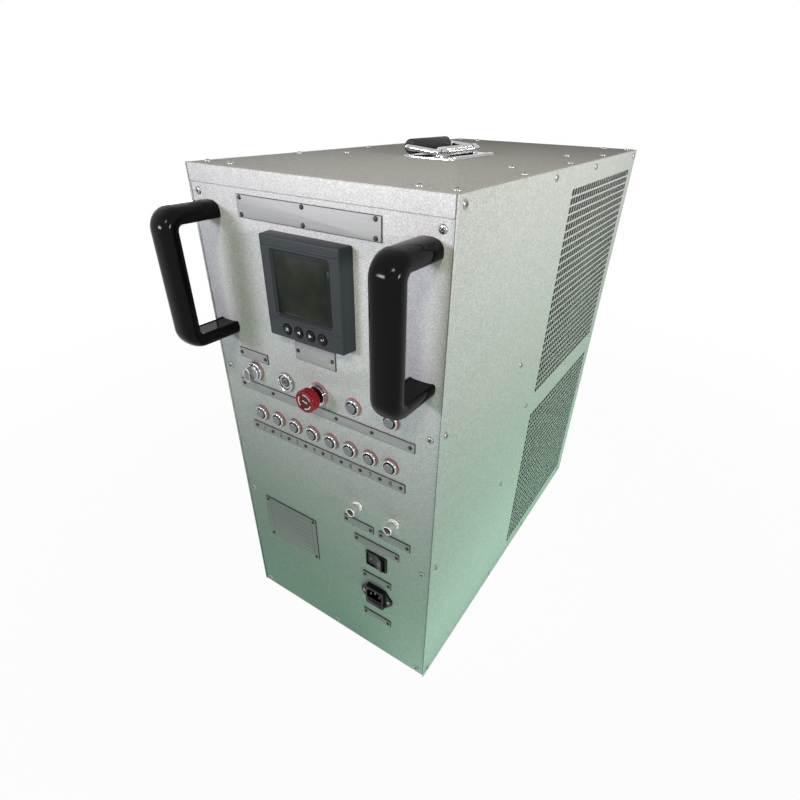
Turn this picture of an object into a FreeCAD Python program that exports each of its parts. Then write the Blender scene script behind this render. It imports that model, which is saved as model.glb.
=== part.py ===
"""Portable generator load bank: a fan-cooled resistor cabinet with its control panel.

Frame: millimetres, origin at the centre of the cabinet's underside, +X to the right as seen from
the front, +Y from the front to the back, +Z up. Each function builds one sub-part, and the table
NODES at the end names the file that each one is written to.
"""
import FreeCAD, Part
import math
import os

V = FreeCAD.Vector

# ---------------------------------------------------------------- driving dimensions
# cabinet
WIDTH = 320.0
DEPTH = 604.0
HEIGHT = 642.0
SHEET = 2.0                 # side panels, top cover, frame and tray
PANEL_T = 2.0               # front and rear panels
FACE_SETBACK = 1.5          # front and rear panels behind the edges of the side panels
SEAM = 0.5                  # seam between neighbouring panels
COVER_FLANGE = 17.0         # folded edge of the top cover
COVER_BEND_R = 2.0
TRAY_FLANGE = 22.0
PANEL_LIFT = 1.0            # front and rear panels above the floor
POST_LEG = 25.0             # angle posts of the inner frame
MID_POST_Y = -96.0          # post and bulkhead between controls and resistors
RAIL_H = 20.0               # side rail between the two perforated fields

# clearances
PLAY = 0.3                  # pieces that move past each other
RUNNING = 0.05              # radial, shaft in bore
HOLE_PLAY = 0.2             # radial, fixed piece in its hole

# round fittings that repeat are made with flat sides
SMALL_SIDES = 12            # buttons, keys and sockets
LARGE_SIDES = 24            # selector, lamp and emergency stop

# perforated fields of the side panels
GRILLE_Y = 131.0
GRILLE_PITCH = 9.9
GRILLE_WEB = 2.0
GRILLE_COLUMNS = 29
GRILLE_LOW_EDGE = 27.4      # plain sheet below the lower field
GRILLE_TOP_EDGE = 25.9      # plain sheet above the upper field
GRILLE_GAP = 38.3           # plain sheet between the two fields

# plates and label strips on the front panel
LABEL_T = 1.4
NAME_PLATE_DROP = 34.0      # all drops are measured down from the top of the cabinet
NAME_PLATE_W = 178.0
NAME_PLATE_H = 22.0
DATA_PLATE_INSET = 85.5      # from the left side of the cabinet to the plate's middle
DATA_PLATE_DROP = 473.0
DATA_PLATE_W = 97.0
DATA_PLATE_H = 78.0
STRIP_H = 12.4
SHORT_STRIP_W = 47.0
LONG_STRIP_W = 70.0
METER_STRIP_W = 57.0
METER_STRIP_H = 22.0
STRIP_OVERHANG = 5.5        # long strips past the outer bezels
STRIP_BELOW_BUTTONS = 24.0
STRIP_ABOVE_SELECTOR = 20.0
STRIP_BELOW_METER = 20.0
STRIP_BELOW_SOCKETS = 31.5
STRIP_ABOVE_ROCKER = 26.5
STRIP_BELOW_ROCKER = 36.5
STRIP_BELOW_INLET = 48.5

# pull handles on the front
HANDLE_INSET = 26.0         # from a side of the cabinet to a handle's middle
HANDLE_DROP = 106.8
HANDLE_PITCH = 131.0
HANDLE_REACH = 68.0
HANDLE_BAR_W = 31.0
HANDLE_BAR_T = 17.0
HANDLE_OUTER_R = 23.0
HANDLE_BEVEL = 5.0          # bevels along the front of the bar
HANDLE_BEVEL_W = 7.0

# digital meter
METER_X = 3.5
METER_DROP = 103.5
METER_W = 101.0
METER_H = 103.0
METER_PROUD = 17.0
METER_SIDE_DRAFT = 2.0
METER_EDGE = 2.0
METER_BODY = 90.0
METER_BODY_DEPTH = 62.0
METER_WINDOW_W = 72.0
METER_WINDOW_H = 64.0
METER_WINDOW_RISE = 5.5
METER_RECESS = 2.5
METER_PANE_T = 1.2
KEY_R = 5.4
KEY_PITCH = 16.0
KEY_DROP = 40.5
KEY_PROUD = 0.8
KEY_DEPTH = 3.0
KEY_TRAVEL = 0.8

# row of large controls
CONTROL_DROP = 222.0
CONTROL_PITCH = 50.0
SEAL_T = 1.2

# push buttons
STAGE_DROP = 282.0
STAGE_COUNT = 8
BARREL_R = 8.0
BUTTON_R = 9.8
BUTTON_FRONT = 5.2
BEZEL_DRAFT = 0.8
CAP_R = 6.4
CAP_FRONT = 7.2
CAP_LENGTH = 17.0
CAP_EDGE = 0.9
CAP_TRAVEL = 2.5
BARREL_LENGTH = 20.0
BLOCK_LENGTH = 15.0

# large controls: selector, fault lamp, emergency stop
BIG_BARREL_R = 9.5
BIG_BEZEL_R = 12.2
BIG_SEAL_R = 12.8
SELECTOR_BEZEL_FRONT = 5.5
KNOB_DISC_R = 10.8
KNOB_DISC_T = 3.0
KNOB_BAR_W = 10.0
KNOB_BAR_H = 7.5
KNOB_SHAFT_R = 4.0
LAMP_FRONT = 4.6
LAMP_LENS_R = 6.4
LAMP_LENS_DEPTH = 6.0
LAMP_DISH = 2.4
LAMP_DOME = 1.0
ESTOP_COLLAR_R = 14.0
ESTOP_COLLAR_FRONT = 7.0
ESTOP_SEAL_R = 14.6
ESTOP_STEM_R = 6.5
ESTOP_HEAD_R = 13.6
ESTOP_HEAD_BACK = 11.6
ESTOP_HEAD_FRONT = 24.5
ESTOP_NECK = 1.6            # waist under the head
ESTOP_FLARE = 5.0
ESTOP_EDGE = 1.8
ESTOP_HOLLOW = 0.8          # dish of the head's face
ESTOP_CROWN = 6.0           # face of the head above the end of its stem
ESTOP_TRAVEL = 4.0

# supply corner: sockets, rocker switch, mains inlet
SUPPLY_INSET = 81.5         # from the right side of the cabinet to the column's middle
SOCKET_OFFSET = 27.5
SOCKET_DROP = 365.0
SOCKET_R = 6.2
SOCKET_BORE_R = 5.0
SOCKET_PROUD = 17.0
SOCKET_RECESS = 3.0
SOCKET_TAIL = 12.0
SOCKET_FLANGE_R = 7.8
SOCKET_FLANGE_T = 3.0
SOCKET_PINS = 4
SOCKET_PIN_PCR = 2.6
SOCKET_PIN_W = 1.2
SOCKET_PIN_OUT = 2.0
ROCKER_BELOW_SOCKETS = 84.0
ROCKER_W = 33.0
ROCKER_H = 26.0
ROCKER_RIM = 2.0
ROCKER_RIM_PROUD = 2.6
ROCKER_TILT = 11.0
ROCKER_PIVOT_DEPTH = 6.0
ROCKER_DEPTH = 22.0
ROCKER_LIP = 0.7
ROCKER_POCKET_DEPTH = 14.0
ROCKER_PIN_R = 1.5
ROCKER_PIN_OUT = 0.5         # pins into the walls of the pocket
PADDLE_SWING = 1.9          # room for the ends of the paddle as it tips
PADDLE_END = 3.6
PADDLE_DISH = 1.8
PADDLE_FOOT = 8.5
PADDLE_FOOT_W = 4.0
INLET_BELOW_ROCKER = 68.0
INLET_EAR_SPAN = 51.0
INLET_FLANGE_T = 3.0
INLET_BOX_W = 29.0
INLET_BOX_H = 34.0
INLET_PROUD = 7.5
INLET_DEPTH = 24.0
INLET_SCREW_PITCH = 40.0
INLET_SOCKET_W = 24.4
INLET_SOCKET_H = 16.6
INLET_SOCKET_RISE = 5.0
INLET_SOCKET_DEPTH = 16.0
INLET_PIN_PITCH = 14.0
DRAWER_W = 22.0
DRAWER_H = 7.6
DRAWER_DROP = 10.8
DRAWER_LENGTH = 19.0

# lifting handle on the top
LIFT_Y = -24.5
LIFT_PLATE_W = 70.0
LIFT_PLATE_L = 119.0
LIFT_PLATE_T = 1.5
LIFT_AXIS_X = 10.0
LIFT_KNUCKLE_R = 5.3
LIFT_KNUCKLE_L = 12.0
LIFT_KNUCKLE_PLAY = 3.9     # from a leg of the bail to the knuckle beside it
LIFT_WIRE_R = 3.4
LIFT_REACH = 43.0
LIFT_LEG_PITCH = 110.0
LIFT_BEND = 7.0             # corners of the bail cut off by two mitres
GRIP_R = 8.4
GRIP_LENGTH = 92.0
GRIP_EDGE = 1.6
SPRING_GAP = 0.5

# fans
FAN_SIZE = 260.0
FAN_DEPTH = 26.0
FAN_RIM = 6.0               # frame left between the throat and its side
FAN_TIP_GAP = 10.0          # from the middle of a blade's tip to the throat
FAN_BLADES = 5
FAN_HUB_R = 38.0
FAN_HUB_T = 20.0
FAN_BLADE_T = 2.5
FAN_SETBACK = 3.0           # rotor behind the side panel
BLADE_ROOT = 0.8            # blades start inside the hub
BLADE_ROOT_CHORD = 34.0
BLADE_TIP_CHORD = 64.0
BLADE_CAMBER = 4.0
BLADE_PITCH = 12.0
BLADE_FLATS = 4             # flats that make up the camber
FAN_SIDES = 48              # flats round a fan's throat
FAN_SHAFT_R = 5.0
MOTOR_W = 76.0
MOTOR_DEPTH = 45.0
SPIDER_W = 12.0
SPIDER_T = 4.0

# resistors
RACK_LEFT = -40.0
RACK_INSET = 40.0           # from the right side of the cabinet to the rack
RACK_Y = (-30.0, 262.0)
RACK_HEADROOM = 22.0        # below the top cover
RACK_RAIL_W = 20.0
ELEMENT_W = 36.0
ELEMENT_H = 24.0
ELEMENT_ROWS = 12
ELEMENT_COLUMNS = 2

# contactors
CONTACTOR_W = 45.0
CONTACTOR_H = 80.0
CONTACTOR_D = 55.0
CONTACTOR_PITCH = 48.0
CONTACTOR_ROWS_Z = (250.0, 400.0)
DIN_RAIL_H = 35.0
DIN_RAIL_D = 7.5
DIN_RAIL_L = 250.0

# terminals on the rear
TERMINAL_Z = 120.0
TERMINAL_PITCH = 46.0
TERMINAL_COUNT = 5
TERMINAL_BOARD_W = 250.0
TERMINAL_BOARD_H = 64.0
TERMINAL_BOARD_T = 12.0
TERMINAL_STUD_R = 6.0
TERMINAL_STUD_OUT = 32.0
TERMINAL_STUD_IN = 22.0
TERMINAL_NUT_FLATS = 19.0
TERMINAL_NUT_T = 10.0
TERMINAL_WINDOW_W = 226.0
TERMINAL_WINDOW_H = 40.0

# ---------------------------------------------------------------- derived places
HALF_W = WIDTH / 2
HALF_D = DEPTH / 2
INNER_X = HALF_W - SHEET                    # inside of the side panels
SEAM_X = INNER_X - SEAM                     # edge of front, rear and top panels
FACE_Y = -HALF_D + FACE_SETBACK             # outer face of the front panel
REAR_Y = HALF_D - FACE_SETBACK              # outer face of the rear panel
FRONT_IN = FACE_Y + PANEL_T                 # inner face of the front panel
REAR_IN = REAR_Y - PANEL_T
PANEL_TOP = HEIGHT - COVER_FLANGE - SEAM
HANDLE_Z = HEIGHT - HANDLE_DROP
METER_Z = HEIGHT - METER_DROP
CONTROL_Z = HEIGHT - CONTROL_DROP
STAGE_Z = HEIGHT - STAGE_DROP
SOCKET_Z = HEIGHT - SOCKET_DROP
ROCKER_Z = SOCKET_Z - ROCKER_BELOW_SOCKETS
INLET_Z = ROCKER_Z - INLET_BELOW_ROCKER
HANDLE_X = HALF_W - HANDLE_INSET
SUPPLY_X = HALF_W - SUPPLY_INSET
DATA_PLATE_X = DATA_PLATE_INSET - HALF_W
FAN_BORE_R = FAN_SIZE / 2 - FAN_RIM
FAN_BLADE_R = FAN_BORE_R - FAN_TIP_GAP
RACK_TOP = HEIGHT - RACK_HEADROOM
RACK_X = (RACK_LEFT, HALF_W - RACK_INSET)
STAGE_SPAN = 4 * CONTROL_PITCH              # both rows of buttons are as long
STAGE_STEP = STAGE_SPAN / (STAGE_COUNT - 1)
FIELD_SPACE = (HEIGHT - GRILLE_LOW_EDGE - GRILLE_GAP - GRILLE_TOP_EDGE) / 2
GRILLE_ROWS = round((FIELD_SPACE + GRILLE_WEB) / GRILLE_PITCH)
GRILLE_W = GRILLE_COLUMNS * GRILLE_PITCH - GRILLE_WEB
GRILLE_H = GRILLE_ROWS * GRILLE_PITCH - GRILLE_WEB
GRILLE_Z = (GRILLE_LOW_EDGE + FIELD_SPACE / 2, HEIGHT - GRILLE_TOP_EDGE - FIELD_SPACE / 2)
RAIL_Z = sum(GRILLE_Z) / 2
SOCKETS_X = (SUPPLY_X - SOCKET_OFFSET, SUPPLY_X + SOCKET_OFFSET)
LIFT_AXIS_Z = HEIGHT + LIFT_PLATE_T + LIFT_KNUCKLE_R
GRIP_Z = HEIGHT + LIFT_PLATE_T + GRIP_R + PLAY
GRIP_X = LIFT_AXIS_X - LIFT_REACH
METER_PANE_FRONT = METER_PROUD - METER_RECESS


def stage_places():
    """Centres (x, z) of the load-stage push buttons."""
    return [(-STAGE_SPAN / 2 + i * STAGE_STEP, STAGE_Z) for i in range(STAGE_COUNT)]


def control_place(index):
    """Centre (x, z) of one of the five large controls, -2 for the leftmost."""
    return (index * CONTROL_PITCH, CONTROL_Z)


SELECTOR = control_place(-2)
LAMP = control_place(-1)
ESTOP = control_place(0)
BUTTONS = [control_place(1), control_place(2)] + stage_places()

CONTROL_ROW_W = 5 * CONTROL_PITCH + 2 * STRIP_OVERHANG
STAGE_ROW_W = STAGE_COUNT * STAGE_STEP + 2 * STRIP_OVERHANG
# label strips: centre x, centre z, width, height
STRIPS = (
    (SELECTOR[0], CONTROL_Z + STRIP_ABOVE_SELECTOR, SHORT_STRIP_W, STRIP_H),
    (0.0, CONTROL_Z - STRIP_BELOW_BUTTONS, CONTROL_ROW_W, STRIP_H),
    (0.0, STAGE_Z - STRIP_BELOW_BUTTONS, STAGE_ROW_W, STRIP_H),
    (0.0, METER_Z - METER_H / 2 - STRIP_BELOW_METER, METER_STRIP_W, METER_STRIP_H),
    (SOCKETS_X[0], SOCKET_Z - STRIP_BELOW_SOCKETS, SHORT_STRIP_W, STRIP_H),
    (SOCKETS_X[1], SOCKET_Z - STRIP_BELOW_SOCKETS, SHORT_STRIP_W, STRIP_H),
    (SUPPLY_X, ROCKER_Z + STRIP_ABOVE_ROCKER, LONG_STRIP_W, STRIP_H),
    (SUPPLY_X, ROCKER_Z - STRIP_BELOW_ROCKER, SHORT_STRIP_W, STRIP_H),
    (SUPPLY_X, INLET_Z - STRIP_BELOW_INLET, SHORT_STRIP_W, STRIP_H),
)
NAME_PLATE = (0.0, HEIGHT - NAME_PLATE_DROP, NAME_PLATE_W, NAME_PLATE_H)
DATA_PLATE = (DATA_PLATE_X, HEIGHT - DATA_PLATE_DROP, DATA_PLATE_W, DATA_PLATE_H)


# ---------------------------------------------------------------- form helpers
def block(x0, x1, y0, y1, z0, z1):
    """Rectangular block between two corners."""
    return Part.makeBox(x1 - x0, y1 - y0, z1 - z0, V(x0, y0, z0))


def panel_block(place, w, h, back, front):
    """Block centred at (x, z) on the front panel, from one height above its face to another."""
    x, z = place
    return block(x - w / 2, x + w / 2, FACE_Y - front, FACE_Y - back, z - h / 2, z + h / 2)


def panel_rod(place, radius, back, front):
    """Cylinder square to the front panel, between two heights above its face."""
    x, z = place
    return Part.makeCylinder(radius, front - back, V(x, FACE_Y - back, z), V(0, -1, 0))


def polygon_face(points):
    """Flat face through the given corners, with repeated corners left out."""
    corners = []
    for point in points:
        if all(point.distanceToPoint(other) > 1e-6 for other in corners):
            corners.append(point)
    return Part.Face(Part.makePolygon(corners + [corners[0]])) if len(corners) > 2 else None


def flat_sided(place, outline, sides=SMALL_SIDES):
    """Body turned about an axis square to the front panel from (radius, height) points.

    Its round faces are flats, with their corners on the given radii.
    """
    x, z = place
    turn = [2 * math.pi * (i + 0.5) / sides for i in range(sides + 1)]
    faces = []
    for (r0, p0), (r1, p1) in zip(outline, outline[1:] + outline[:1]):
        for a, b in zip(turn, turn[1:]):
            faces.append(polygon_face([V(x + r * math.cos(t), FACE_Y - p, z + r * math.sin(t))
                                       for r, p, t in ((r0, p0, a), (r0, p0, b), (r1, p1, b),
                                                       (r1, p1, a))]))
    return Part.Solid(Part.Shell([face for face in faces if face])).removeSplitter()


def panel_prism(place, radius, sides, back, front):
    """Regular prism square to the front panel; radius is to its corners."""
    return flat_sided(place, ((0, back), (radius, back), (radius, front), (0, front)), sides)


def corner_radius(flat_radius, sides):
    """Distance from the axis of a regular prism to its corners."""
    return flat_radius / math.cos(math.pi / sides)


def fillet_where(shape, radius, chosen):
    """Fillet the edges for which chosen(edge) is true."""
    return shape.makeFillet(radius, [e for e in shape.Edges if chosen(e)])


def group(shapes):
    """One sub-part made of separate solids."""
    return Part.makeCompound(shapes)


def join(shapes):
    """One solid fused from shapes that meet, with the seams removed."""
    return shapes[0].fuse(shapes[1:]).removeSplitter()


# ---------------------------------------------------------------- cabinet
def base_tray():
    """Floor tray folded up on all four sides."""
    outer = block(-INNER_X, INNER_X, FRONT_IN, REAR_IN, 0, TRAY_FLANGE)
    inner = block(-INNER_X + SHEET, INNER_X - SHEET, FRONT_IN + SHEET, REAR_IN - SHEET,
                  SHEET, TRAY_FLANGE)
    return outer.cut(inner)


def top_cover():
    """Cover folded down on all four sides, level with the edges of the side panels."""
    low = HEIGHT - COVER_FLANGE
    outer = block(-SEAM_X, SEAM_X, -HALF_D, HALF_D, low, HEIGHT)
    outer = fillet_where(outer, COVER_BEND_R, lambda e: abs(e.BoundBox.ZMin - HEIGHT) < 1e-6
                         and e.BoundBox.YLength < 1e-6)
    inner = block(-SEAM_X + SHEET, SEAM_X - SHEET, -HALF_D + SHEET, HALF_D - SHEET,
                  low, HEIGHT - SHEET)
    return outer.cut(inner)


def angle_post(x_side, y_corner, y_dir, z0, z1):
    """Upright angle with one leg on a side panel and one square to it."""
    x_corner = x_side * INNER_X
    ys = sorted((y_corner, y_corner + y_dir * POST_LEG))
    thin = sorted((y_corner, y_corner + y_dir * SHEET))
    side_x = sorted((x_corner, x_corner - x_side * SHEET))
    across = sorted((x_corner, x_corner - x_side * POST_LEG))
    leg_on_side = block(side_x[0], side_x[1], ys[0], ys[1], z0, z1)
    leg_across = block(across[0], across[1], thin[0], thin[1], z0, z1)
    return leg_on_side.fuse(leg_across)


def cabinet_frame():
    """Angle posts at the corners and at the bulkhead, and a rail along each side."""
    low = TRAY_FLANGE
    high = HEIGHT - COVER_FLANGE
    halves = []
    for side in (-1, 1):
        rail_x = sorted((side * INNER_X, side * (INNER_X - SHEET)))
        rail = block(rail_x[0], rail_x[1], MID_POST_Y, REAR_IN,
                     RAIL_Z - RAIL_H / 2, RAIL_Z + RAIL_H / 2)
        mid = angle_post(side, MID_POST_Y, 1, low, high)
        rear = angle_post(side, REAR_IN, -1, low, high)
        halves.append(join([rail, mid, rear]))
        halves.append(angle_post(side, FRONT_IN, 1, low, high).removeSplitter())
    return group(halves)


def bulkhead():
    """Plate across the cabinet that keeps the hot side away from the controls."""
    high = PANEL_TOP - SEAM
    plate = block(-INNER_X + HOLE_PLAY, INNER_X - HOLE_PLAY, MID_POST_Y - SHEET, MID_POST_Y,
                  SHEET, high)
    notch = TRAY_FLANGE + HOLE_PLAY
    for side in (-1, 1):
        xs = sorted((side * INNER_X, side * (INNER_X - SHEET - HOLE_PLAY)))
        plate = plate.cut(block(xs[0], xs[1], MID_POST_Y - SHEET, MID_POST_Y, 0, notch))
    return plate


def front_panel():
    """Control panel with an opening for each fitting."""
    plate = block(-SEAM_X, SEAM_X, FACE_Y, FRONT_IN, PANEL_LIFT, PANEL_TOP)
    through = (-PANEL_T, 0.0)
    cuts = [panel_prism(place, BARREL_R + HOLE_PLAY, SMALL_SIDES, *through) for place in BUTTONS]
    for place in (SELECTOR, LAMP, ESTOP):
        cuts.append(panel_prism(place, BIG_BARREL_R + HOLE_PLAY, LARGE_SIDES, *through))
    for x in SOCKETS_X:
        cuts.append(panel_prism((x, SOCKET_Z), SOCKET_R + HOLE_PLAY, SMALL_SIDES, *through))
    body = METER_BODY + 2 * HOLE_PLAY
    cuts.append(panel_block((METER_X, METER_Z), body, body, *through))
    rocker = rocker_body_size()
    cuts.append(panel_block((SUPPLY_X, ROCKER_Z), rocker[0] + 2 * HOLE_PLAY,
                            rocker[1] + 2 * HOLE_PLAY, *through))
    cuts.append(panel_block((SUPPLY_X, INLET_Z), INLET_BOX_W + 2 * HOLE_PLAY,
                            INLET_BOX_H + 2 * HOLE_PLAY, *through))
    return plate.cut(cuts)


def rear_panel():
    """Plain rear panel with the window behind the terminal board."""
    plate = block(-SEAM_X, SEAM_X, REAR_IN, REAR_Y, PANEL_LIFT, PANEL_TOP)
    window = block(-TERMINAL_WINDOW_W / 2, TERMINAL_WINDOW_W / 2, REAR_IN, REAR_Y,
                   TERMINAL_Z - TERMINAL_WINDOW_H / 2, TERMINAL_Z + TERMINAL_WINDOW_H / 2)
    return plate.cut(window)


def side_panel(side):
    """Side panel with two fields of square openings between crossed webs.

    The level webs take the outer half of the sheet and the upright webs the inner half.
    """
    def layer(near, far, y0, y1, z0, z1):
        xs = sorted((side * near, side * far))
        return block(xs[0], xs[1], y0, y1, z0, z1)

    middle = INNER_X + SHEET / 2
    sheet = layer(INNER_X, HALF_W, -HALF_D, HALF_D, 0, HEIGHT)
    y0 = GRILLE_Y - GRILLE_W / 2
    webs = []
    for centre_z in GRILLE_Z:
        z0 = centre_z - GRILLE_H / 2
        sheet = sheet.cut(layer(INNER_X, HALF_W, y0, y0 + GRILLE_W, z0, z0 + GRILLE_H))
        for row in range(1, GRILLE_ROWS):
            z = z0 + row * GRILLE_PITCH - GRILLE_WEB
            webs.append(layer(middle, HALF_W, y0, y0 + GRILLE_W, z, z + GRILLE_WEB))
        for column in range(1, GRILLE_COLUMNS):
            y = y0 + column * GRILLE_PITCH - GRILLE_WEB
            webs.append(layer(INNER_X, middle, y, y + GRILLE_WEB, z0, z0 + GRILLE_H))
    return group([sheet] + webs)


def side_panel_right():
    """Side panel at +X."""
    return side_panel(1)


def side_panel_left():
    """Side panel at -X."""
    return side_panel(-1)


# ---------------------------------------------------------------- pull handles
def pull_handle(x):
    """Bridge handle: a flat-backed bar with a bevelled front, carried round two corners."""
    half = HANDLE_PITCH / 2
    bend = HANDLE_OUTER_R - HANDLE_BAR_T / 2
    leg = HANDLE_REACH - HANDLE_OUTER_R
    w = HANDLE_BAR_W / 2
    inside = HANDLE_Z - half + HANDLE_BAR_T / 2
    outside = inside - HANDLE_BAR_T
    crown = w - HANDLE_BEVEL_W
    section = polygon_face([V(x + dx, FACE_Y, z) for dx, z in (
        (w, inside), (-w, inside), (-w, outside + HANDLE_BEVEL), (-crown, outside),
        (crown, outside), (w, outside + HANDLE_BEVEL))])
    pieces = [section.extrude(V(0, -leg, 0))]
    section.translate(V(0, -leg, 0))
    pivot = V(x, FACE_Y - leg, HANDLE_Z - half + bend)
    pieces.append(section.revolve(pivot, V(-1, 0, 0), 90))
    section.rotate(pivot, V(-1, 0, 0), 90)
    pieces.append(section.extrude(V(0, 0, half - bend)))
    pieces += [piece.mirror(V(0, 0, HANDLE_Z), V(0, 0, 1)) for piece in pieces]
    return join(pieces)


def front_handle_left():
    """Pull handle at -X."""
    return pull_handle(-HANDLE_X)


def front_handle_right():
    """Pull handle at +X."""
    return pull_handle(HANDLE_X)


# ---------------------------------------------------------------- labels
def plate(x, z, w, h):
    """Thin bare plate on the front panel."""
    return panel_block((x, z), w, h, 0.0, LABEL_T)


def name_plate():
    """Plate across the top of the front panel."""
    return plate(*NAME_PLATE)


def data_plate():
    """Large plate at the lower left of the front panel."""
    return plate(*DATA_PLATE)


def label_strips():
    """Strips that go with the controls."""
    return group([plate(*strip) for strip in STRIPS])


# ---------------------------------------------------------------- meter
def key_places():
    """Centres (x, z) of the four meter keys."""
    return [(METER_X + (i - 1.5) * KEY_PITCH, METER_Z - KEY_DROP) for i in range(4)]


def meter_case():
    """Meter housing: drafted bezel with a recessed window and key wells, and its rear body."""
    x, z = METER_X, METER_Z
    rings = []
    base_w = METER_W + 2 * METER_SIDE_DRAFT
    for w, h, proud in ((base_w, METER_H, 0.0), (METER_W, METER_H, METER_PROUD - METER_EDGE),
                        (METER_W - 2 * METER_EDGE, METER_H - 2 * METER_EDGE, METER_PROUD)):
        y = FACE_Y - proud
        corners = ((-1, -1), (1, -1), (1, 1), (-1, 1), (-1, -1))
        rings.append(Part.makePolygon([V(x + i * w / 2, y, z + j * h / 2) for i, j in corners]))
    bezel = Part.makeLoft(rings, True, True)
    body = panel_block((x, z), METER_BODY, METER_BODY, -METER_BODY_DEPTH, 0.0)
    case = join([bezel, body])
    window = (x, z + METER_WINDOW_RISE)
    back = METER_PANE_FRONT - METER_PANE_T
    cuts = [panel_block(window, METER_WINDOW_W, METER_WINDOW_H, back, METER_PROUD)]
    for place in key_places():
        well = METER_PROUD + KEY_PROUD - KEY_DEPTH - KEY_TRAVEL - PLAY
        cuts.append(panel_prism(place, KEY_R + PLAY, SMALL_SIDES, well, METER_PROUD))
    return case.cut(cuts)


def meter_window():
    """Clear pane of the meter's display."""
    place = (METER_X, METER_Z + METER_WINDOW_RISE)
    return panel_block(place, METER_WINDOW_W, METER_WINDOW_H, METER_PANE_FRONT - METER_PANE_T,
                       METER_PANE_FRONT)


def meter_key(index):
    """One round key of the meter."""
    front = METER_PROUD + KEY_PROUD
    return panel_prism(key_places()[index], KEY_R, SMALL_SIDES, front - KEY_DEPTH, front)


# ---------------------------------------------------------------- push buttons
def button_bezels():
    """Barrels with a drafted ring in front, one for each push button."""
    bore = CAP_R + RUNNING
    outline = ((BARREL_R, -BARREL_LENGTH), (BARREL_R, 0.0), (BUTTON_R, 0.0),
               (BUTTON_R - BEZEL_DRAFT, BUTTON_FRONT), (bore, BUTTON_FRONT),
               (bore, -BARREL_LENGTH))
    return group([flat_sided(place, outline) for place in BUTTONS])


def button_cap(index):
    """Moving cap of one push button."""
    back = CAP_FRONT - CAP_LENGTH
    outline = ((0.0, back), (CAP_R, back), (CAP_R, CAP_FRONT - CAP_EDGE),
               (CAP_R - CAP_EDGE, CAP_FRONT), (0.0, CAP_FRONT))
    return flat_sided(BUTTONS[index], outline)


def control_seals():
    """Sealing rings under the selector and the emergency stop."""
    bore = corner_radius(BIG_BARREL_R + HOLE_PLAY, SMALL_SIDES)
    return group([flat_sided(place, ((bore, 0), (radius, 0), (radius, SEAL_T), (bore, SEAL_T)),
                             SMALL_SIDES)
                  for place, radius in ((SELECTOR, BIG_SEAL_R), (ESTOP, ESTOP_SEAL_R))])


def switch_blocks():
    """Contact blocks clipped to the barrels of the buttons and large controls."""
    back = -BARREL_LENGTH - BLOCK_LENGTH
    return group([panel_block(place, 2 * r, 2 * r, back, -BARREL_LENGTH)
                  for places, r in ((BUTTONS, BARREL_R), ((SELECTOR, LAMP, ESTOP), BIG_BARREL_R))
                  for place in places])


# ---------------------------------------------------------------- selector, lamp, emergency stop
def selector_bezel():
    """Fixed body of the rotary selector."""
    outline = ((0, -BARREL_LENGTH), (BIG_BARREL_R, -BARREL_LENGTH), (BIG_BARREL_R, SEAL_T),
               (BIG_BEZEL_R, SEAL_T), (BIG_BEZEL_R - BEZEL_DRAFT, SELECTOR_BEZEL_FRONT),
               (0, SELECTOR_BEZEL_FRONT))
    bore = panel_rod(SELECTOR, KNOB_SHAFT_R + RUNNING, -BARREL_LENGTH, SELECTOR_BEZEL_FRONT)
    return flat_sided(SELECTOR, outline, LARGE_SIDES).cut(bore)


def selector_knob():
    """Turning knob: a disc with a pointed bar across it, on its shaft."""
    back = SELECTOR_BEZEL_FRONT + PLAY
    disc_front = back + KNOB_DISC_T
    shaft_back = -BARREL_LENGTH + PLAY
    outline = ((0, back), (KNOB_DISC_R, back), (KNOB_DISC_R - BEZEL_DRAFT, disc_front),
               (0, disc_front))
    disc = flat_sided(SELECTOR, outline, LARGE_SIDES)
    shaft = panel_rod(SELECTOR, KNOB_SHAFT_R, shaft_back, back)
    x, z = SELECTOR
    half = KNOB_BAR_W / 2
    rise = KNOB_DISC_R - half - BEZEL_DRAFT
    y = FACE_Y - disc_front
    tip = V(x, y, z + KNOB_DISC_R - BEZEL_DRAFT)
    shoulders = [V(x - half, y, z + rise), V(x + half, y, z + rise)]
    feet = [V(x + half, y, z - rise), V(x - half, y, z - rise)]
    round_end = Part.Arc(feet[0], V(x, y, z - rise - half), feet[1])
    edges = [Part.makeLine(shoulders[0], tip), Part.makeLine(tip, shoulders[1]),
             Part.makeLine(shoulders[1], feet[0]), round_end.toShape(),
             Part.makeLine(feet[1], shoulders[0])]
    bar = Part.Face(Part.Wire(edges)).extrude(V(0, -KNOB_BAR_H, 0))
    return join([disc, shaft, bar])


def fault_lamp_bezel():
    """Ring of the fault lamp, dished towards its lens."""
    outline = ((LAMP_LENS_R, -BARREL_LENGTH), (BIG_BARREL_R, -BARREL_LENGTH), (BIG_BARREL_R, 0.0),
               (BIG_BEZEL_R, 0.0), (BIG_BEZEL_R - BEZEL_DRAFT, LAMP_FRONT),
               (LAMP_LENS_R, LAMP_FRONT - LAMP_DISH))
    return flat_sided(LAMP, outline, LARGE_SIDES)


def fault_lamp_lens():
    """Lens with a bevelled rim, seated in the lamp's bore."""
    rim = LAMP_FRONT - LAMP_DISH
    outline = ((0, -LAMP_LENS_DEPTH), (LAMP_LENS_R, -LAMP_LENS_DEPTH), (LAMP_LENS_R, rim),
               (LAMP_LENS_R - LAMP_DOME, rim + LAMP_DOME), (0, rim + LAMP_DOME))
    return flat_sided(LAMP, outline, LARGE_SIDES)


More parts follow.
